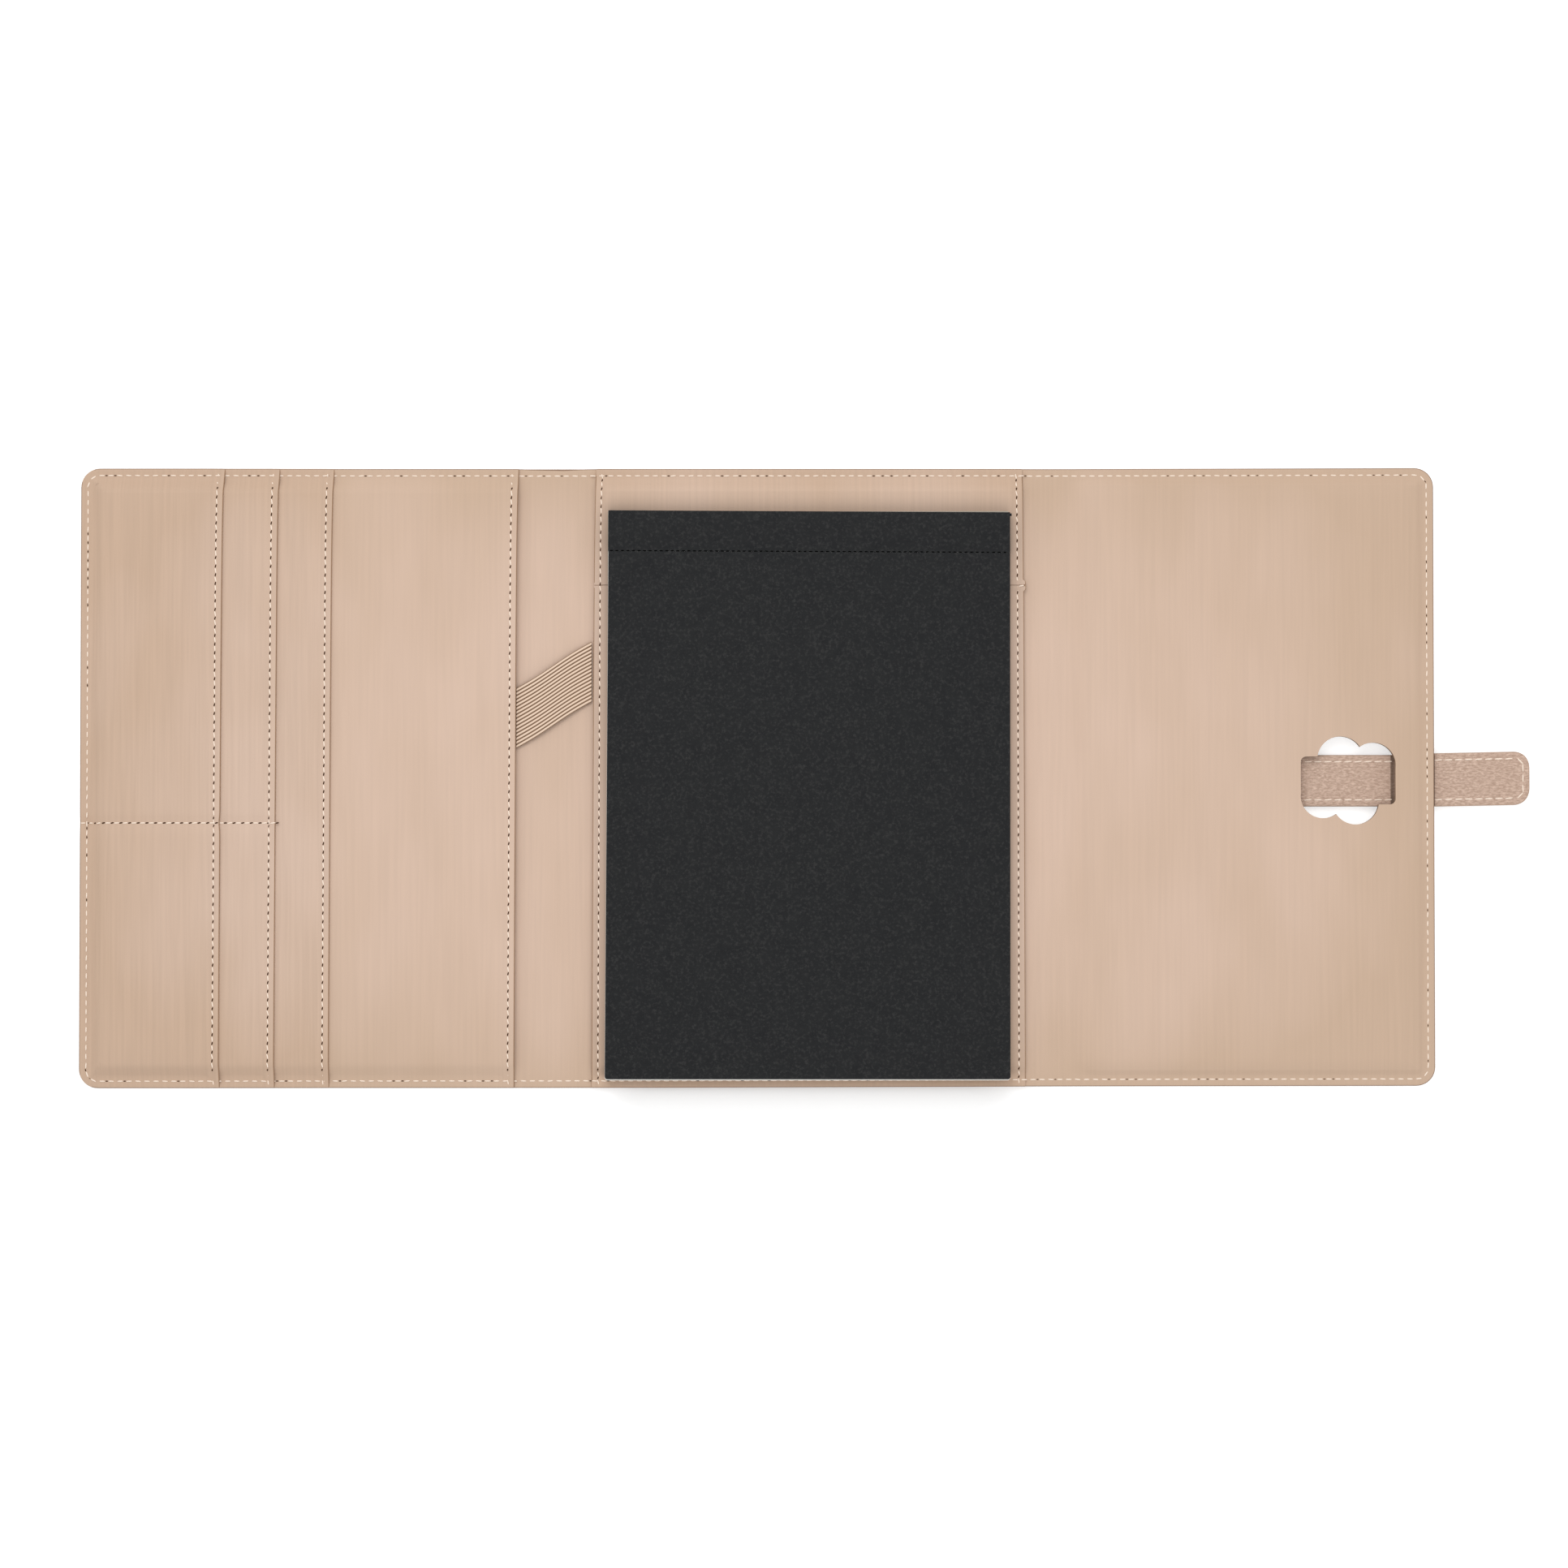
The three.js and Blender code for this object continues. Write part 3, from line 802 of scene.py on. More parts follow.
for layer, (name, mouth, _, _, finish) in enumerate(pocket_layers):
    cuts_x = [folder_left + inset for inset in past_rings]
    cuts_x += steps(folder_left, mouth, sheet_pitch)[2:-1]
    cuts_x += [mouth - back * mm for back in hem_cuts]
    cuts_y = [side * (folder_half - inset) for side in (-1, 1) for inset in past_rings]
    cuts_y += steps(-folder_half, folder_half, sheet_pitch)[2:-2]
    if layer > 1:
        cuts_y += [divider_y + off * mm for off in divider_cuts]
    sheet = leather_sheet(
        name + "_sheet", folder_left, mouth, -folder_half, folder_half,
        (corner_radius, 0), pocket_rings, cuts_x, cuts_y,
    )
    points = points_of(sheet)
    points[:, 2] = pocket_top(layer, points[:, 0], points[:, 1])
    share = (points[:, 0] - folder_left) / (mouth - folder_left)
    points[:, 0] += leaned(points[:, 1]) * share ** 2
    if layer > 1:
        points[:, 0] -= divider_pull * share ** 8 * pinched(points[:, 0], points[:, 1])
    place_points(sheet, points)
    thicken(sheet, pocket_sheet, finish, mouth_edge)
    points = points_of(sheet)
    under = np.arange(len(points)) >= len(points) // 2
    in_hem = mouth + leaned(points[:, 1]) - points[:, 0] < hem_width
    inward = folder_half - np.abs(points[:, 1])
    points[under & in_hem & (inward > corner_radius), 2] -= hem_drop
    place_points(sheet, points)
    round_edges(sheet)
    press_ends(sheet)
    lay_pattern(sheet)
    shade(sheet)
    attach(sheet, "left_cover")
    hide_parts(name)


# Two leather sleeves lie over the centre panel, sewn down at the folder's upper and lower edges. A
# slit between them takes the pad's card, and their side hems are turned under and sewn.
sleeve_low, sleeve_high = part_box("centre_sleeve_upper")
slit_y = 71.25 * mm
slit_half = 0.04 * mm
slit_lip = 1.1 * mm
slit_end = 0.3 * mm
slit_cuts = (0.4, 0.9, 1.5, 2.2, 3.2)
sleeve_seam = 2.6 * mm
sleeve_hem_cuts = hem_cuts + (6.0,)
sleeve_seam_cuts = (1.2, 2.0, 2.6, 3.2, 3.8, 4.6, 5.4, 6.2, 7.2, 8.4, 10)
sleeve_rise_run = 5.4 * mm
sleeve_top_z = 4.88 * mm
sleeve_sheet = 0.75 * mm
sleeve_droop = 1.35 * mm
pad_low, pad_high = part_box("pad_sheets")
header_low, header_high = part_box("pad_header")
sleeve_left = sleeve_low.x + 0.3 * mm
sleeve_right = sleeve_high.x + 0.05 * mm
right_lean = -0.57
upper_shift = -0.1 * mm
slit_corner_shift = 0.8 * mm
slit_corner_rise = 0.22 * mm
pad_shade_reach = 3.4 * mm
pad_shade_fade = 3 * mm
sleeve_spans = {"centre_sleeve_upper": (slit_y + slit_half, folder_half),
                "centre_sleeve_lower": (-folder_half, slit_y - slit_half)}


def sleeve_top(x, y):
    """The height of the sleeves' top over the seams, the hems and the panel's sides."""
    inward = folder_half - np.abs(y)
    risen = smooth_step((inward - seam_rise_start) / sleeve_rise_run)
    right = smooth_step((x - pad_high.x) / (sleeve_right - pad_high.x))
    left = smooth_step((pad_low.x - x) / (pad_low.x - sleeve_left))
    height = sleeve_seam + (sleeve_top_z - sleeve_seam) * risen - sleeve_droop * (right + left) * risen
    return height + hem_relief(np.minimum(sleeve_right - x, x - sleeve_left)) - seam_groove(inward)


for name, (low, high) in sleeve_spans.items():
    upper = high == folder_half
    seam_side = 1 if upper else -1
    slit_edge = low if upper else high
    cuts_x = steps(sleeve_left, sleeve_right, sheet_pitch)[1:-1]
    for back in sleeve_hem_cuts:
        cuts_x += [sleeve_left + back * mm, sleeve_right - back * mm]
    cuts_y = steps(low, high, sheet_pitch)[1:-1]
    cuts_y += [seam_side * (folder_half - inset * mm) for inset in sleeve_seam_cuts]
    cuts_y += [slit_edge + seam_side * inset * mm for inset in slit_cuts]
    sheet = leather_sheet(
        name + "_sheet", sleeve_left, sleeve_right, low, high, (0, 0), (), cuts_x, cuts_y,
    )
    points = points_of(sheet)
    x = points[:, 0].copy()
    y = points[:, 1]
    points[:, 2] = sleeve_top(x, y)
    share = (x - sleeve_left) / (sleeve_right - sleeve_left)
    points[:, 0] += leaned(y) * (1 - share) ** 6
    points[:, 0] += (right_lean * leaned(y) + (upper_shift if upper else 0)) * share ** 6
    to_slit = np.abs(y - slit_y)
    at_corner = share ** 12
    points[:, 0] += slit_corner_shift * at_corner * (1 - smooth_step((to_slit - 1.4 * mm) / (0.7 * mm)))
    points[:, 2] += slit_corner_rise * at_corner * (1 - smooth_step(to_slit / (2.6 * mm)))
    place_points(sheet, points)
    thicken(sheet, sleeve_sheet, pocket_leather, mouth_edge)
    round_edges(sheet)
    press_ends(sheet)
    x, y = points_of(sheet)[:, :2].T
    # Painted shade beside the pad: strongest at the pad's sides and fading away from them, along the pad's
    # height.
    beside = np.maximum(pad_low.x - x, x - pad_high.x)
    pad_shade = np.exp(-np.maximum(beside, 0) / pad_shade_reach) * smooth_step((header_high.y - y) / pad_shade_fade)
    pad_shade *= smooth_step((y - pad_low.y) / pad_shade_fade)
    painted_shade = sheet.data.attributes.new("beside_pad", "FLOAT", "POINT")
    painted_shade.data.foreach_set("value", pad_shade.astype(np.float32))
    for face in sheet.data.polygons:
        beside_slit = sleeve_left < face.center.x < sleeve_right - slit_end
        if beside_slit and abs(face.center.y - slit_y) < slit_lip:
            face.material_index = 0
    lay_pattern(sheet)
    draw_in(sheet)
    shade(sheet)
    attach(sheet, "centre")
    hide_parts(name)


# The seams are sewn in waxed cream thread. A stitch is modelled once and copied along each row, and
# between the stitches of the hems the needle holes show as small dark beads, painted shade for the holes.
thread_sink = 0.02 * mm
under_thread = 0.03 * mm
corner_parts = 12


def stitch_shape(length, width, height):
    """One stitch, a short bead of thread with blunt ends, along X."""
    bpy.ops.object.select_all(action="DESELECT")
    bpy.ops.mesh.primitive_uv_sphere_add(segments=8, ring_count=6, radius=0.5)
    stitch = bpy.context.object
    bpy.ops.object.mode_set(mode="EDIT")
    bpy.ops.mesh.select_all(action="SELECT")
    bpy.ops.transform.rotate(value=math.pi / 2, orient_axis="Y", center_override=(0, 0, 0))
    bpy.ops.transform.resize(value=(length, width, height))
    bpy.ops.object.mode_set(mode="OBJECT")
    points = points_of(stitch)
    share = points[:, 0] / (length / 2)
    points[:, 0] = np.sign(share) * np.abs(share) ** 0.75 * length / 2
    place_points(stitch, points)
    return stitch


def sew(name, pattern, stations, finish):
    """Copies a stitch to each station of a row, which gives its place and its heading."""
    shape = points_of(pattern)
    faces = [list(face.vertices) for face in pattern.data.polygons]
    all_points = []
    all_faces = []
    for place, heading in stations:
        cosine, sine = math.cos(heading), math.sin(heading)
        turn = np.array([[cosine, sine, 0], [-sine, cosine, 0], [0, 0, 1]])
        base = len(all_points) * len(shape)
        all_points.append(shape @ turn + np.array(place))
        all_faces += [[base + v for v in face] for face in faces]
    mesh = bpy.data.meshes.new(name)
    mesh.from_pydata(np.concatenate(all_points).tolist(), [], all_faces)
    row = bpy.data.objects.new(name, mesh)
    bpy.context.collection.objects.link(row)
    row.data.materials.append(finish)
    row.data.polygons.foreach_set("use_smooth", [True] * len(row.data.polygons))
    return row


def outline_stations(inset, pitch):
    """Evenly spaced places and headings along the folder's outline, at an inset from its edge."""
    radius = corner_radius - inset
    left, right = folder_left + inset, folder_right - inset
    half = folder_half - inset
    path = []
    corners = [(right - radius, half - radius, 90), (right - radius, radius - half, 0),
               (left + radius, radius - half, -90), (left + radius, half - radius, -180)]
    for x, y, start in corners:
        for part in range(corner_parts + 1):
            angle = math.radians(start - 90 * part / corner_parts)
            path.append((x + radius * math.cos(angle), y + radius * math.sin(angle)))
    path.append(path[0])
    path = np.array(path)
    lengths = np.concatenate([[0], np.cumsum(np.hypot(*np.diff(path, axis=0).T))])
    count = round(lengths[-1] / pitch)
    at = np.arange(count) * lengths[-1] / count
    x, y = (np.interp(at, lengths, path[:, axis]) for axis in (0, 1))
    ahead = (at + pitch / 4) % lengths[-1]
    x_ahead, y_ahead = (np.interp(ahead, lengths, path[:, axis]) for axis in (0, 1))
    headings = np.arctan2(y_ahead - y, x_ahead - x)
    return list(zip(x, y, headings))


def seam_surface(x):
    """The height of the top along the outline's seam, over the pockets, the fold and the sleeves."""
    for _, mouth, at_seam, _, _ in reversed(pocket_layers):
        if x < mouth:
            return at_seam
    if x < sleeve_low.x or x > sleeve_high.x:
        return seam_top
    return sleeve_seam


def thread_finish(name, colour, shade_colour):
    """Twisted thread: fine turns across the stitch, darker between them."""
    finish, tree, shader, place = new_finish(name, 0.6, 0.5, "Object")
    turns = texture(tree, "ShaderNodeTexWave", place, (1, 1, 1), Scale=900.0, Distortion=2.0, Detail=1.0)
    turns.bands_direction = "DIAGONAL"
    share = ranged(tree, turns.outputs["Fac"], 0.0, 1.0, 0.45, 0.0)
    tree.links.new(blended(tree, share, colour, shade_colour), shader.inputs["Base Color"])
    tree.links.new(bumped(tree, turns.outputs["Fac"], 0.05 * mm, 0.6), shader.inputs["Normal"])
    return finish


def hole_shade_finish(name, colour):
    """Painted shade for the inside of a small hole: one flat dark colour, rough and without sheen."""
    finish, _, shader, _ = new_finish(name, 1.0, 0.0)
    shader.inputs["Base Color"].default_value = colour
    return finish


cream_thread = thread_finish("cream_thread", dye(250, 234, 218), dye(226, 202, 182))
needle_hole = hole_shade_finish("needle_hole", dye(74, 50, 35))
outline_stitch = stitch_shape(length=2.15 * mm, width=0.52 * mm, height=0.36 * mm)
outline_hole = stitch_shape(length=0.9 * mm, width=0.4 * mm, height=0.12 * mm)
outline_pitch = 3.3 * mm
open_holes = 0.3
outline_wobble = 0.045
hem_wobble = 0.05
slight_wobble = 0.03
chance = np.random.default_rng(7)
thread_groups = {"left": [], "middle": [], "right": []}
hole_groups = {"left": [], "middle": [], "right": []}
for x, y, heading in outline_stations(seam_row, outline_pitch):
    side = "left" if x < spine_middle else "middle" if x < centre_middle else "right"
    wobble = chance.normal(0, outline_wobble)
    surface = seam_surface(x) - thread_sink
    thread_groups[side].append(((x, y, surface), heading + wobble))
    thread_groups[side].append(((x, y, under_thread), heading + wobble))
    gap = outline_pitch / 2
    hole = (x + gap * math.cos(heading), y + gap * math.sin(heading), surface)
    if chance.random() < open_holes:
        hole_groups[side].append((hole, heading))
for side, _, _, body_a, body_b, bend in skin_bodies:
    for name, stations, pattern, finish in (
        (f"outline_thread_{side}", thread_groups[side], outline_stitch, cream_thread),
        (f"outline_holes_{side}", hole_groups[side], outline_hole, needle_hole),
    ):
        row = sew(name, pattern, stations, finish)
        draw_in(row)
        raise_flap(row)
        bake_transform(row)

hem_stitch = stitch_shape(length=2.0 * mm, width=0.5 * mm, height=0.34 * mm)
hem_hole = stitch_shape(length=1.3 * mm, width=0.54 * mm, height=0.14 * mm)
hem_pitch = 3.2 * mm
hem_span = (-folder_half + 2.2 * mm, folder_half - 1.6 * mm)
slant = math.radians(10)
bead_rise = 0.03 * mm


def hem_stations(row_x, layer, lean_share=1.0):
    """Stitches and needle holes up the hem of a pocket, or of a sleeve where no layer is given. Each
    stitch slants one way and each hole the other."""
    stitches = []
    holes = []
    for y in np.arange(*hem_span, hem_pitch):
        for rows, at, tilt in ((stitches, y, slant), (holes, y + hem_pitch / 2, -1.6 * slant)):
            if at > hem_span[1]:
                continue
            x = row_x + leaned(at) * lean_share
            wobble = chance.normal(0, hem_wobble)
            top = sleeve_top(row_x, at) if layer is None else pocket_top(layer, row_x, at)
            rows.append(((x, at, float(top) + bead_rise), math.pi / 2 + tilt + wobble))
    return stitches, holes


stitches = []
holes = []
for layer, (_, mouth, *_) in enumerate(pocket_layers):
    row = hem_stations(mouth - hem_row, layer)
    stitches += row[0]
    holes += row[1]
for x in np.arange(folder_left + 1.2 * mm, divider_end - 0.4 * mm, hem_pitch):
    for rows, at, tilt in ((stitches, x, 0.4 * slant), (holes, x + hem_pitch / 2, slant)):
        layer = 3 if at < pocket_layers[3][1] - 0.3 * mm else 2
        height = float(pocket_top(layer, at, divider_y)) + bead_rise
        rows.append(((at, divider_y, height), tilt + chance.normal(0, hem_wobble)))
for name, pattern, stations, finish in (
    ("pocket_thread", hem_stitch, stitches, cream_thread), ("pocket_holes", hem_hole, holes, needle_hole),
):
    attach(sew(name, pattern, stations, finish), "left_cover")

stitches = []
holes = []
sleeve_rows = ((sleeve_left + hem_row, 1.0), (sleeve_right + upper_shift - hem_row, right_lean))
for row_x, lean_share in sleeve_rows:
    row = hem_stations(row_x, None, lean_share)
    stitches += row[0]
    holes += row[1]
bar_tack = (sleeve_right - 1.2 * mm, slit_y - 0.2 * mm)
bar_tack_rise = 0.4 * mm
bar_tack_turn = math.radians(9)
stitches.append((bar_tack + (float(sleeve_top(*bar_tack)) + bar_tack_rise,), bar_tack_turn))
for name, pattern, stations, finish in (
    ("sleeve_thread", hem_stitch, stitches, cream_thread), ("sleeve_holes", hem_hole, holes, needle_hole),
):
    row = sew(name, pattern, stations, finish)
    draw_in(row)
    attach(row, "centre")


# The pen loop is a band of ribbed elastic, stretched slantwise across the spine and sewn in under
# the hems beside it. Its ribs are round cords in a thin woven ground.
loop_low, loop_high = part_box("pen_loop")
loop_width = 22.3 * mm
loop_left_y = 22.1 * mm
loop_right_y = 39.2 * mm
loop_ribs = 16
rib_facets = 8
rib_height = 0.42 * mm
loop_ground = 0.5 * mm
loop_arch = 0.8 * mm
loop_seat = 2.2 * mm
loop_wave = 0.3 * mm
loop_span = loop_high.x - loop_low.x
bpy.ops.object.select_all(action="DESELECT")
bpy.ops.mesh.primitive_grid_add(x_subdivisions=28, y_subdivisions=loop_ribs * rib_facets, size=1)
loop = bpy.context.object
loop.name = "pen_loop_elastic"
points = points_of(loop)
share = points[:, 0] + 0.5
across = points[:, 1] + 0.5
rib_share = (across * loop_ribs) % 1
rib_share[np.isclose(across, 1)] = 0
rib = np.abs(np.sin(math.pi * rib_share))
middle = loop_left_y + (loop_right_y - loop_left_y) * share - loop_wave * np.sin(2 * math.pi * share)
points[:, 0] = loop_low.x + share * loop_span
points[:, 1] = middle + (across - 0.5) * loop_width
arch = np.sin(math.pi * share) * (0.75 + 0.25 * np.sin(math.pi * across))
points[:, 2] = loop_seat + loop_ground + loop_arch * arch + rib_height * rib
place_points(loop, points)
groove = loop.data.attributes.new("groove", "FLOAT", "POINT")
groove.data.foreach_set("value", (1 - rib).astype(np.float32))
loop_map = loop.data.uv_layers.active
corners = np.empty(len(loop.data.loops), int)
loop.data.loops.foreach_get("vertex_index", corners)
run = np.stack([share * loop_span, across * loop_width], axis=1)
loop_map.data.foreach_set("uv", run[corners].ravel())
finish_with(loop, "SOLIDIFY", thickness=loop_ground, offset=-1)
elastic, tree, shader, place = new_finish("ribbed_elastic", 0.8)
depth = tree.nodes.new("ShaderNodeAttribute")
depth.attribute_name = "groove"
weft = texture(tree, "ShaderNodeTexWave", place, (1, 1, 1), Scale=420.0, Distortion=1.5, Detail=1.0)
weave = ranged(tree, weft.outputs["Fac"], 0.0, 1.0, 0.05, 0.0)
rib_colour = blended(tree, weave, dye(234, 209, 187), dye(202, 174, 150))
# Painted shade: the grooves between the ribs take a dark brown, for the shade that falls in them.
groove_shade = ranged(tree, depth.outputs["Fac"], 0.12, 0.66, 0.0, 1.0)
tree.links.new(blended(tree, groove_shade, rib_colour, dye(132, 102, 78)), shader.inputs["Base Color"])
tree.links.new(bumped(tree, weft.outputs["Fac"], 0.02 * mm, 0.2), shader.inputs["Normal"])
loop.data.materials.append(elastic)
shade(loop, 60)
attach(loop, "spine")
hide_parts("pen_loop")


# The pad is a block of A5 paper on a grey card, glued along its upper edge. A black strip is bound
# round that edge, and the black cover turns up at a perforated crease below it.
sheet_cover_low, sheet_cover_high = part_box("pad_cover")
pad_left = pad_low.x - 0.3 * mm
pad_right = pad_high.x + 0.4 * mm
pad_bottom = pad_low.y + 0.15 * mm
pad_top = header_high.y - 0.65 * mm
crease_y = sheet_cover_high.y - 0.43 * mm
pad_lean = 0.0033
pad_fall = 0.005
pad_narrow = 0.0078
page_inset = 0.05 * mm
page_lift = 0.04 * mm
page_corner = 1.1 * mm
page_drop = 0.4 * mm
cover_inset = 0.42 * mm
cover_side = 0.14 * mm
cover_corner = 1.0 * mm
clear = 0.01 * mm
cover_gap = 0.2 * mm
binding_gap = 0.14 * mm
card_rounding = 0.05 * mm
block_rounding = 0.06 * mm
perforation_pitch = 2.05 * mm


def pad_leaned(points):
    """Leans the pad a little to the right at its top, where it is a little narrower too, and lets its
    upper edge fall towards the right."""
    up = (points[:, 1] - pad_bottom) / (pad_top - pad_bottom)
    across = points[:, 0] - (pad_left + pad_right) / 2
    points[:, 1] -= pad_fall * up * across
    points[:, 0] += (up - 0.5) * (pad_lean * (pad_top - pad_bottom) - pad_narrow * across)
    return points


def block_piece(name, low, high, rounding, finish, corner=0.0):
    """A cut block of paper or card, with its lower corners and then all its edges rounded. It leans as
    the whole pad does."""
    bpy.ops.object.select_all(action="DESELECT")
    bpy.ops.mesh.primitive_cube_add(size=1, location=[(a + b) / 2 for a, b in zip(low, high)])
    piece = bpy.context.object
    piece.name = name
    piece.scale = [b - a for a, b in zip(low, high)]
    bpy.ops.object.transform_apply(location=True, rotation=True, scale=True)
    if corner:
        round_upright_edges(piece, corner, 6, below=(low[1] + high[1]) / 2)
    finish_with(
        piece, "BEVEL", width=rounding, segments=3, limit_method="ANGLE", angle_limit=math.radians(40),
    )
    place_points(piece, pad_leaned(points_of(piece)))
    piece.data.materials.append(finish)
    shade(piece, 50)
    return piece


white_paper, tree, shader, place = new_finish("white_paper", 0.85, 0.5, "Object")
leaves = texture(tree, "ShaderNodeTexNoise", place, (4, 4, 9000), Detail=2.0)
paper = blended(tree, leaves.outputs["Fac"], dye(246, 244, 238), dye(204, 199, 190))
tree.links.new(paper, shader.inputs["Base Color"])
tree.links.new(bumped(tree, leaves.outputs["Fac"], 0.08 * mm, 0.6), shader.inputs["Normal"])

black_card, tree, shader, place = new_finish("black_card", 0.8, 0.24, "Object")
fibres = texture(tree, "ShaderNodeTexNoise", place, (900, 900, 900), Detail=4.0, Roughness=0.7)
flecks = texture(tree, "ShaderNodeTexNoise", place, (260, 260, 260), Detail=3.0, Roughness=0.6)
base = blended(tree, ranged(tree, flecks.outputs["Fac"], 0.3, 0.7), dye(25, 26, 28), dye(31, 32, 33))
speck = ranged(tree, fibres.outputs["Fac"], 0.5, 0.66, 0.0, 0.9)
tree.links.new(blended(tree, speck, base, dye(48, 48, 48)), shader.inputs["Base Color"])
tree.links.new(bumped(tree, fibres.outputs["Fac"], 0.05 * mm, 0.5), shader.inputs["Normal"])

grey_card, tree, shader, place = new_finish("grey_card", 0.9, 0.5, "Object")
pulp = texture(tree, "ShaderNodeTexNoise", place, (700, 700, 2000), Detail=4.0)
greyed = blended(tree, pulp.outputs["Fac"], dye(176, 168, 154), dye(196, 189, 176))
tree.links.new(greyed, shader.inputs["Base Color"])
frame["nodes"]["pad_back_card"].data.materials.clear()
frame["nodes"]["pad_back_card"].data.materials.append(grey_card)

pages = block_piece(
    "pad_pages", (pad_left + page_inset, pad_bottom, sleeve_top_z + page_lift),
    (pad_right - page_inset, pad_top - page_drop, pad_high.z), block_rounding, white_paper, page_corner,
)
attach(pages, "centre")
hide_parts("pad_sheets")
cover = block_piece(
    "pad_front_cover",
    (pad_left + cover_side, pad_bottom + cover_inset, sheet_cover_low.z + clear),
    (pad_right, crease_y - cover_gap, sheet_cover_high.z), card_rounding, black_card, cover_corner,
)
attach(cover, "pad_cover")
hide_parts("pad_cover")
header = block_piece(
    "pad_binding", (pad_left, crease_y - binding_gap, header_low.z + clear),
    (pad_right, pad_top, header_high.z), block_rounding, black_card,
)
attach(header, "centre")
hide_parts("pad_header")
nib = block_piece(
    "pad_binding_nib", (pad_right - 0.3 * mm, pad_top - 1.4 * mm, header_high.z - 0.5 * mm),
    (pad_right + 0.6 * mm, pad_top - 0.4 * mm, header_high.z - 0.12 * mm), block_rounding, black_card,
)
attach(nib, "centre")

# The perforation's slots are small dark beads along the crease, painted shade for the slits.
perforation = hole_shade_finish("perforation", dye(8, 8, 8))
slot_shape = stitch_shape(length=1.25 * mm, width=0.45 * mm, height=0.08 * mm)
stations = [
    ((x, crease_y, header_high.z), chance.normal(0, slight_wobble))
    for x in np.arange(pad_left + 1.2 * mm, pad_right - 0.8 * mm, perforation_pitch)
]
slots = sew("pad_perforation", slot_shape, stations, perforation)
place_points(slots, pad_leaned(points_of(slots)))
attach(slots, "centre")


# The strap is two grained leather strips sewn back to back, square where it is sewn to the flap's
# outside and round at its tip. It lies behind the flap, shows in the window and stands out past it.
strap_length = 96.5 * mm
strap_half = 9.57 * mm
strap_y = -1.03 * mm
strap_swing = 0.019
strap_spread = 0.034
strap_spread_run = 15 * mm
strap_puff_run = 1.4 * mm
strap_cuts_pitch = 4 * mm
strap_cross_rows = (2 * mm, 15 * mm)
strap_slant = math.radians(3)
strap_radius = 5.8 * mm
strap_strip = 0.92 * mm
strap_rounding = 0.34 * mm
strap_puff = 0.16 * mm
strap_rings = (0.6 * mm, 0.7 * mm, 0.7 * mm, 0.5 * mm, 0.5 * mm, 0.9 * mm)
strap_pitch = 3.7 * mm
strap_thread_top = -0.36 * mm
strap_colours = (dye(216, 189, 171), dye(207, 179, 161), dye(146, 116, 98))
# Painted shadow lines darken the strap where it passes under the window's right edge and under the flap's
# right edge.
strap_leather = grained_leather(
    "strap_leather", *strap_colours,
    painted_shade=((window_x + window_half[0] - 0.75 * mm, 1.3 * mm), (folder_right + 0.1 * mm, 0.8 * mm)),
)
strap_back_leather = grained_leather("strap_back_leather", *strap_colours)
strap_edge = edge_stain_and_shade("strap_edge", dye(168, 141, 122))
strap_left = flap_axis + strap_start
strap_right = strap_left + strap_length
strap_inset = 2.5 * mm


def swung(points):
    """Swings the strap's tail a little and widens it, as it lies in the photo."""
    past_window = np.maximum(points[:, 0] - window_x - window_half[0], 0)
    wider = 1 + strap_spread * smooth_step(past_window / strap_spread_run)
    points[:, 1] = strap_y + (points[:, 1] - strap_y) * wider + strap_swing * past_window
    return points


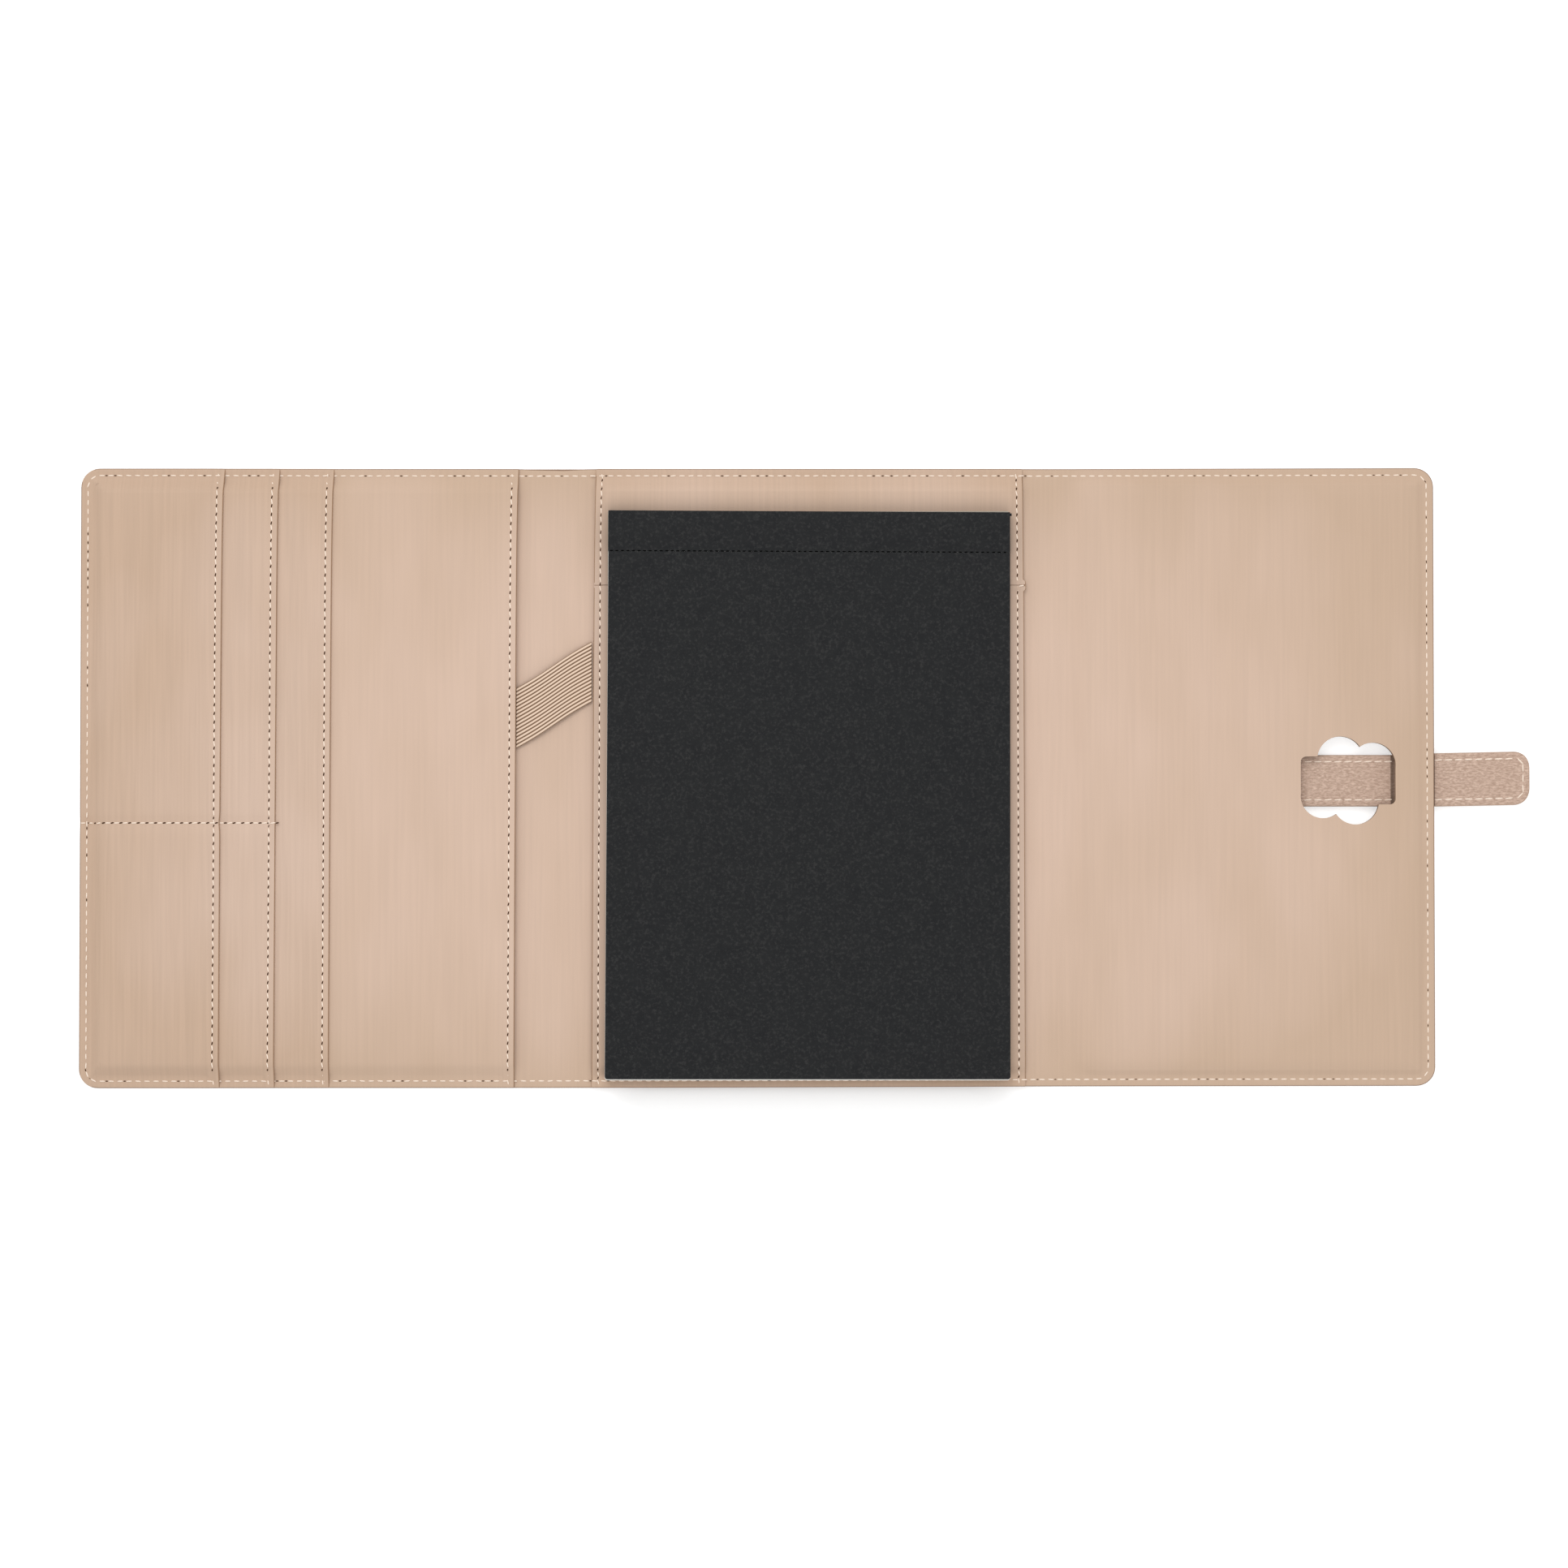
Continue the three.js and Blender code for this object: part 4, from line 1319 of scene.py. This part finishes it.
for name, top_z, finish in (
    ("strap_inner", -0.3 * mm, strap_leather), ("strap_outer", -1.38 * mm, strap_back_leather),
):
    strip = leather_sheet(
        name + "_strip", strap_left, strap_right, strap_y - strap_half, strap_y + strap_half,
        (0, strap_radius), strap_rings,
        steps(strap_left, strap_right, strap_cuts_pitch)[1:-1], [],
    )
    points = points_of(strip)
    inward = strap_half - np.abs(points[:, 1] - strap_y)
    inward = np.minimum(inward, strap_right - points[:, 0])
    puff = smooth_step(inward / strap_puff_run) - 0.5 * ridge(inward, strap_inset, 0.6 * mm)
    points[:, 2] = top_z + strap_puff * (puff - 1)
    place_points(strip, swung(points))
    thicken(strip, strap_strip, finish, strap_edge)
    round_edges(strip, strap_rounding)
    lay_pattern(strip)
    raise_flap(strip)
    shade(strip)
    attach(strip, "strap")
    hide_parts(name)

strap_stitch = stitch_shape(length=2.9 * mm, width=0.5 * mm, height=0.34 * mm)
rows = []
row_half = strap_half - strap_inset
row_end = strap_right - strap_inset
row_corner = strap_radius - strap_inset
corner_turn = math.radians(45)
for x in np.arange(row_end - row_corner - 0.5 * strap_pitch, strap_left + 1.5 * mm, -strap_pitch):
    for side in (-1, 1):
        rows.append((x, strap_y + side * row_half, strap_slant))
for side in (-1, 1):
    x = row_end - row_corner + row_corner * math.cos(corner_turn)
    y = strap_y + side * (row_half - row_corner + row_corner * math.sin(corner_turn))
    rows.append((x, y, -side * corner_turn))
for y in (-strap_pitch, 0, strap_pitch):
    rows.append((row_end, strap_y + y, math.pi / 2))
stations = []
for x, y, heading in rows:
    wobble = chance.normal(0, slight_wobble)
    stations.append(((x, y, strap_thread_top), heading + wobble))
    stations.append(((x, y, -strap_stack), heading + wobble))
for along in strap_cross_rows:
    for y in np.arange(-1.5, 2) * strap_pitch:
        stations.append(((strap_left + along, strap_y + y, -strap_stack), math.pi / 2))
thread = sew("strap_thread", strap_stitch, stations, cream_thread)
place_points(thread, swung(points_of(thread)))
raise_flap(thread)
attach(thread, "strap")
for pattern in (outline_stitch, outline_hole, hem_stitch, hem_hole, slot_shape, strap_stitch):
    bpy.data.objects.remove(pattern)

low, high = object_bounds()
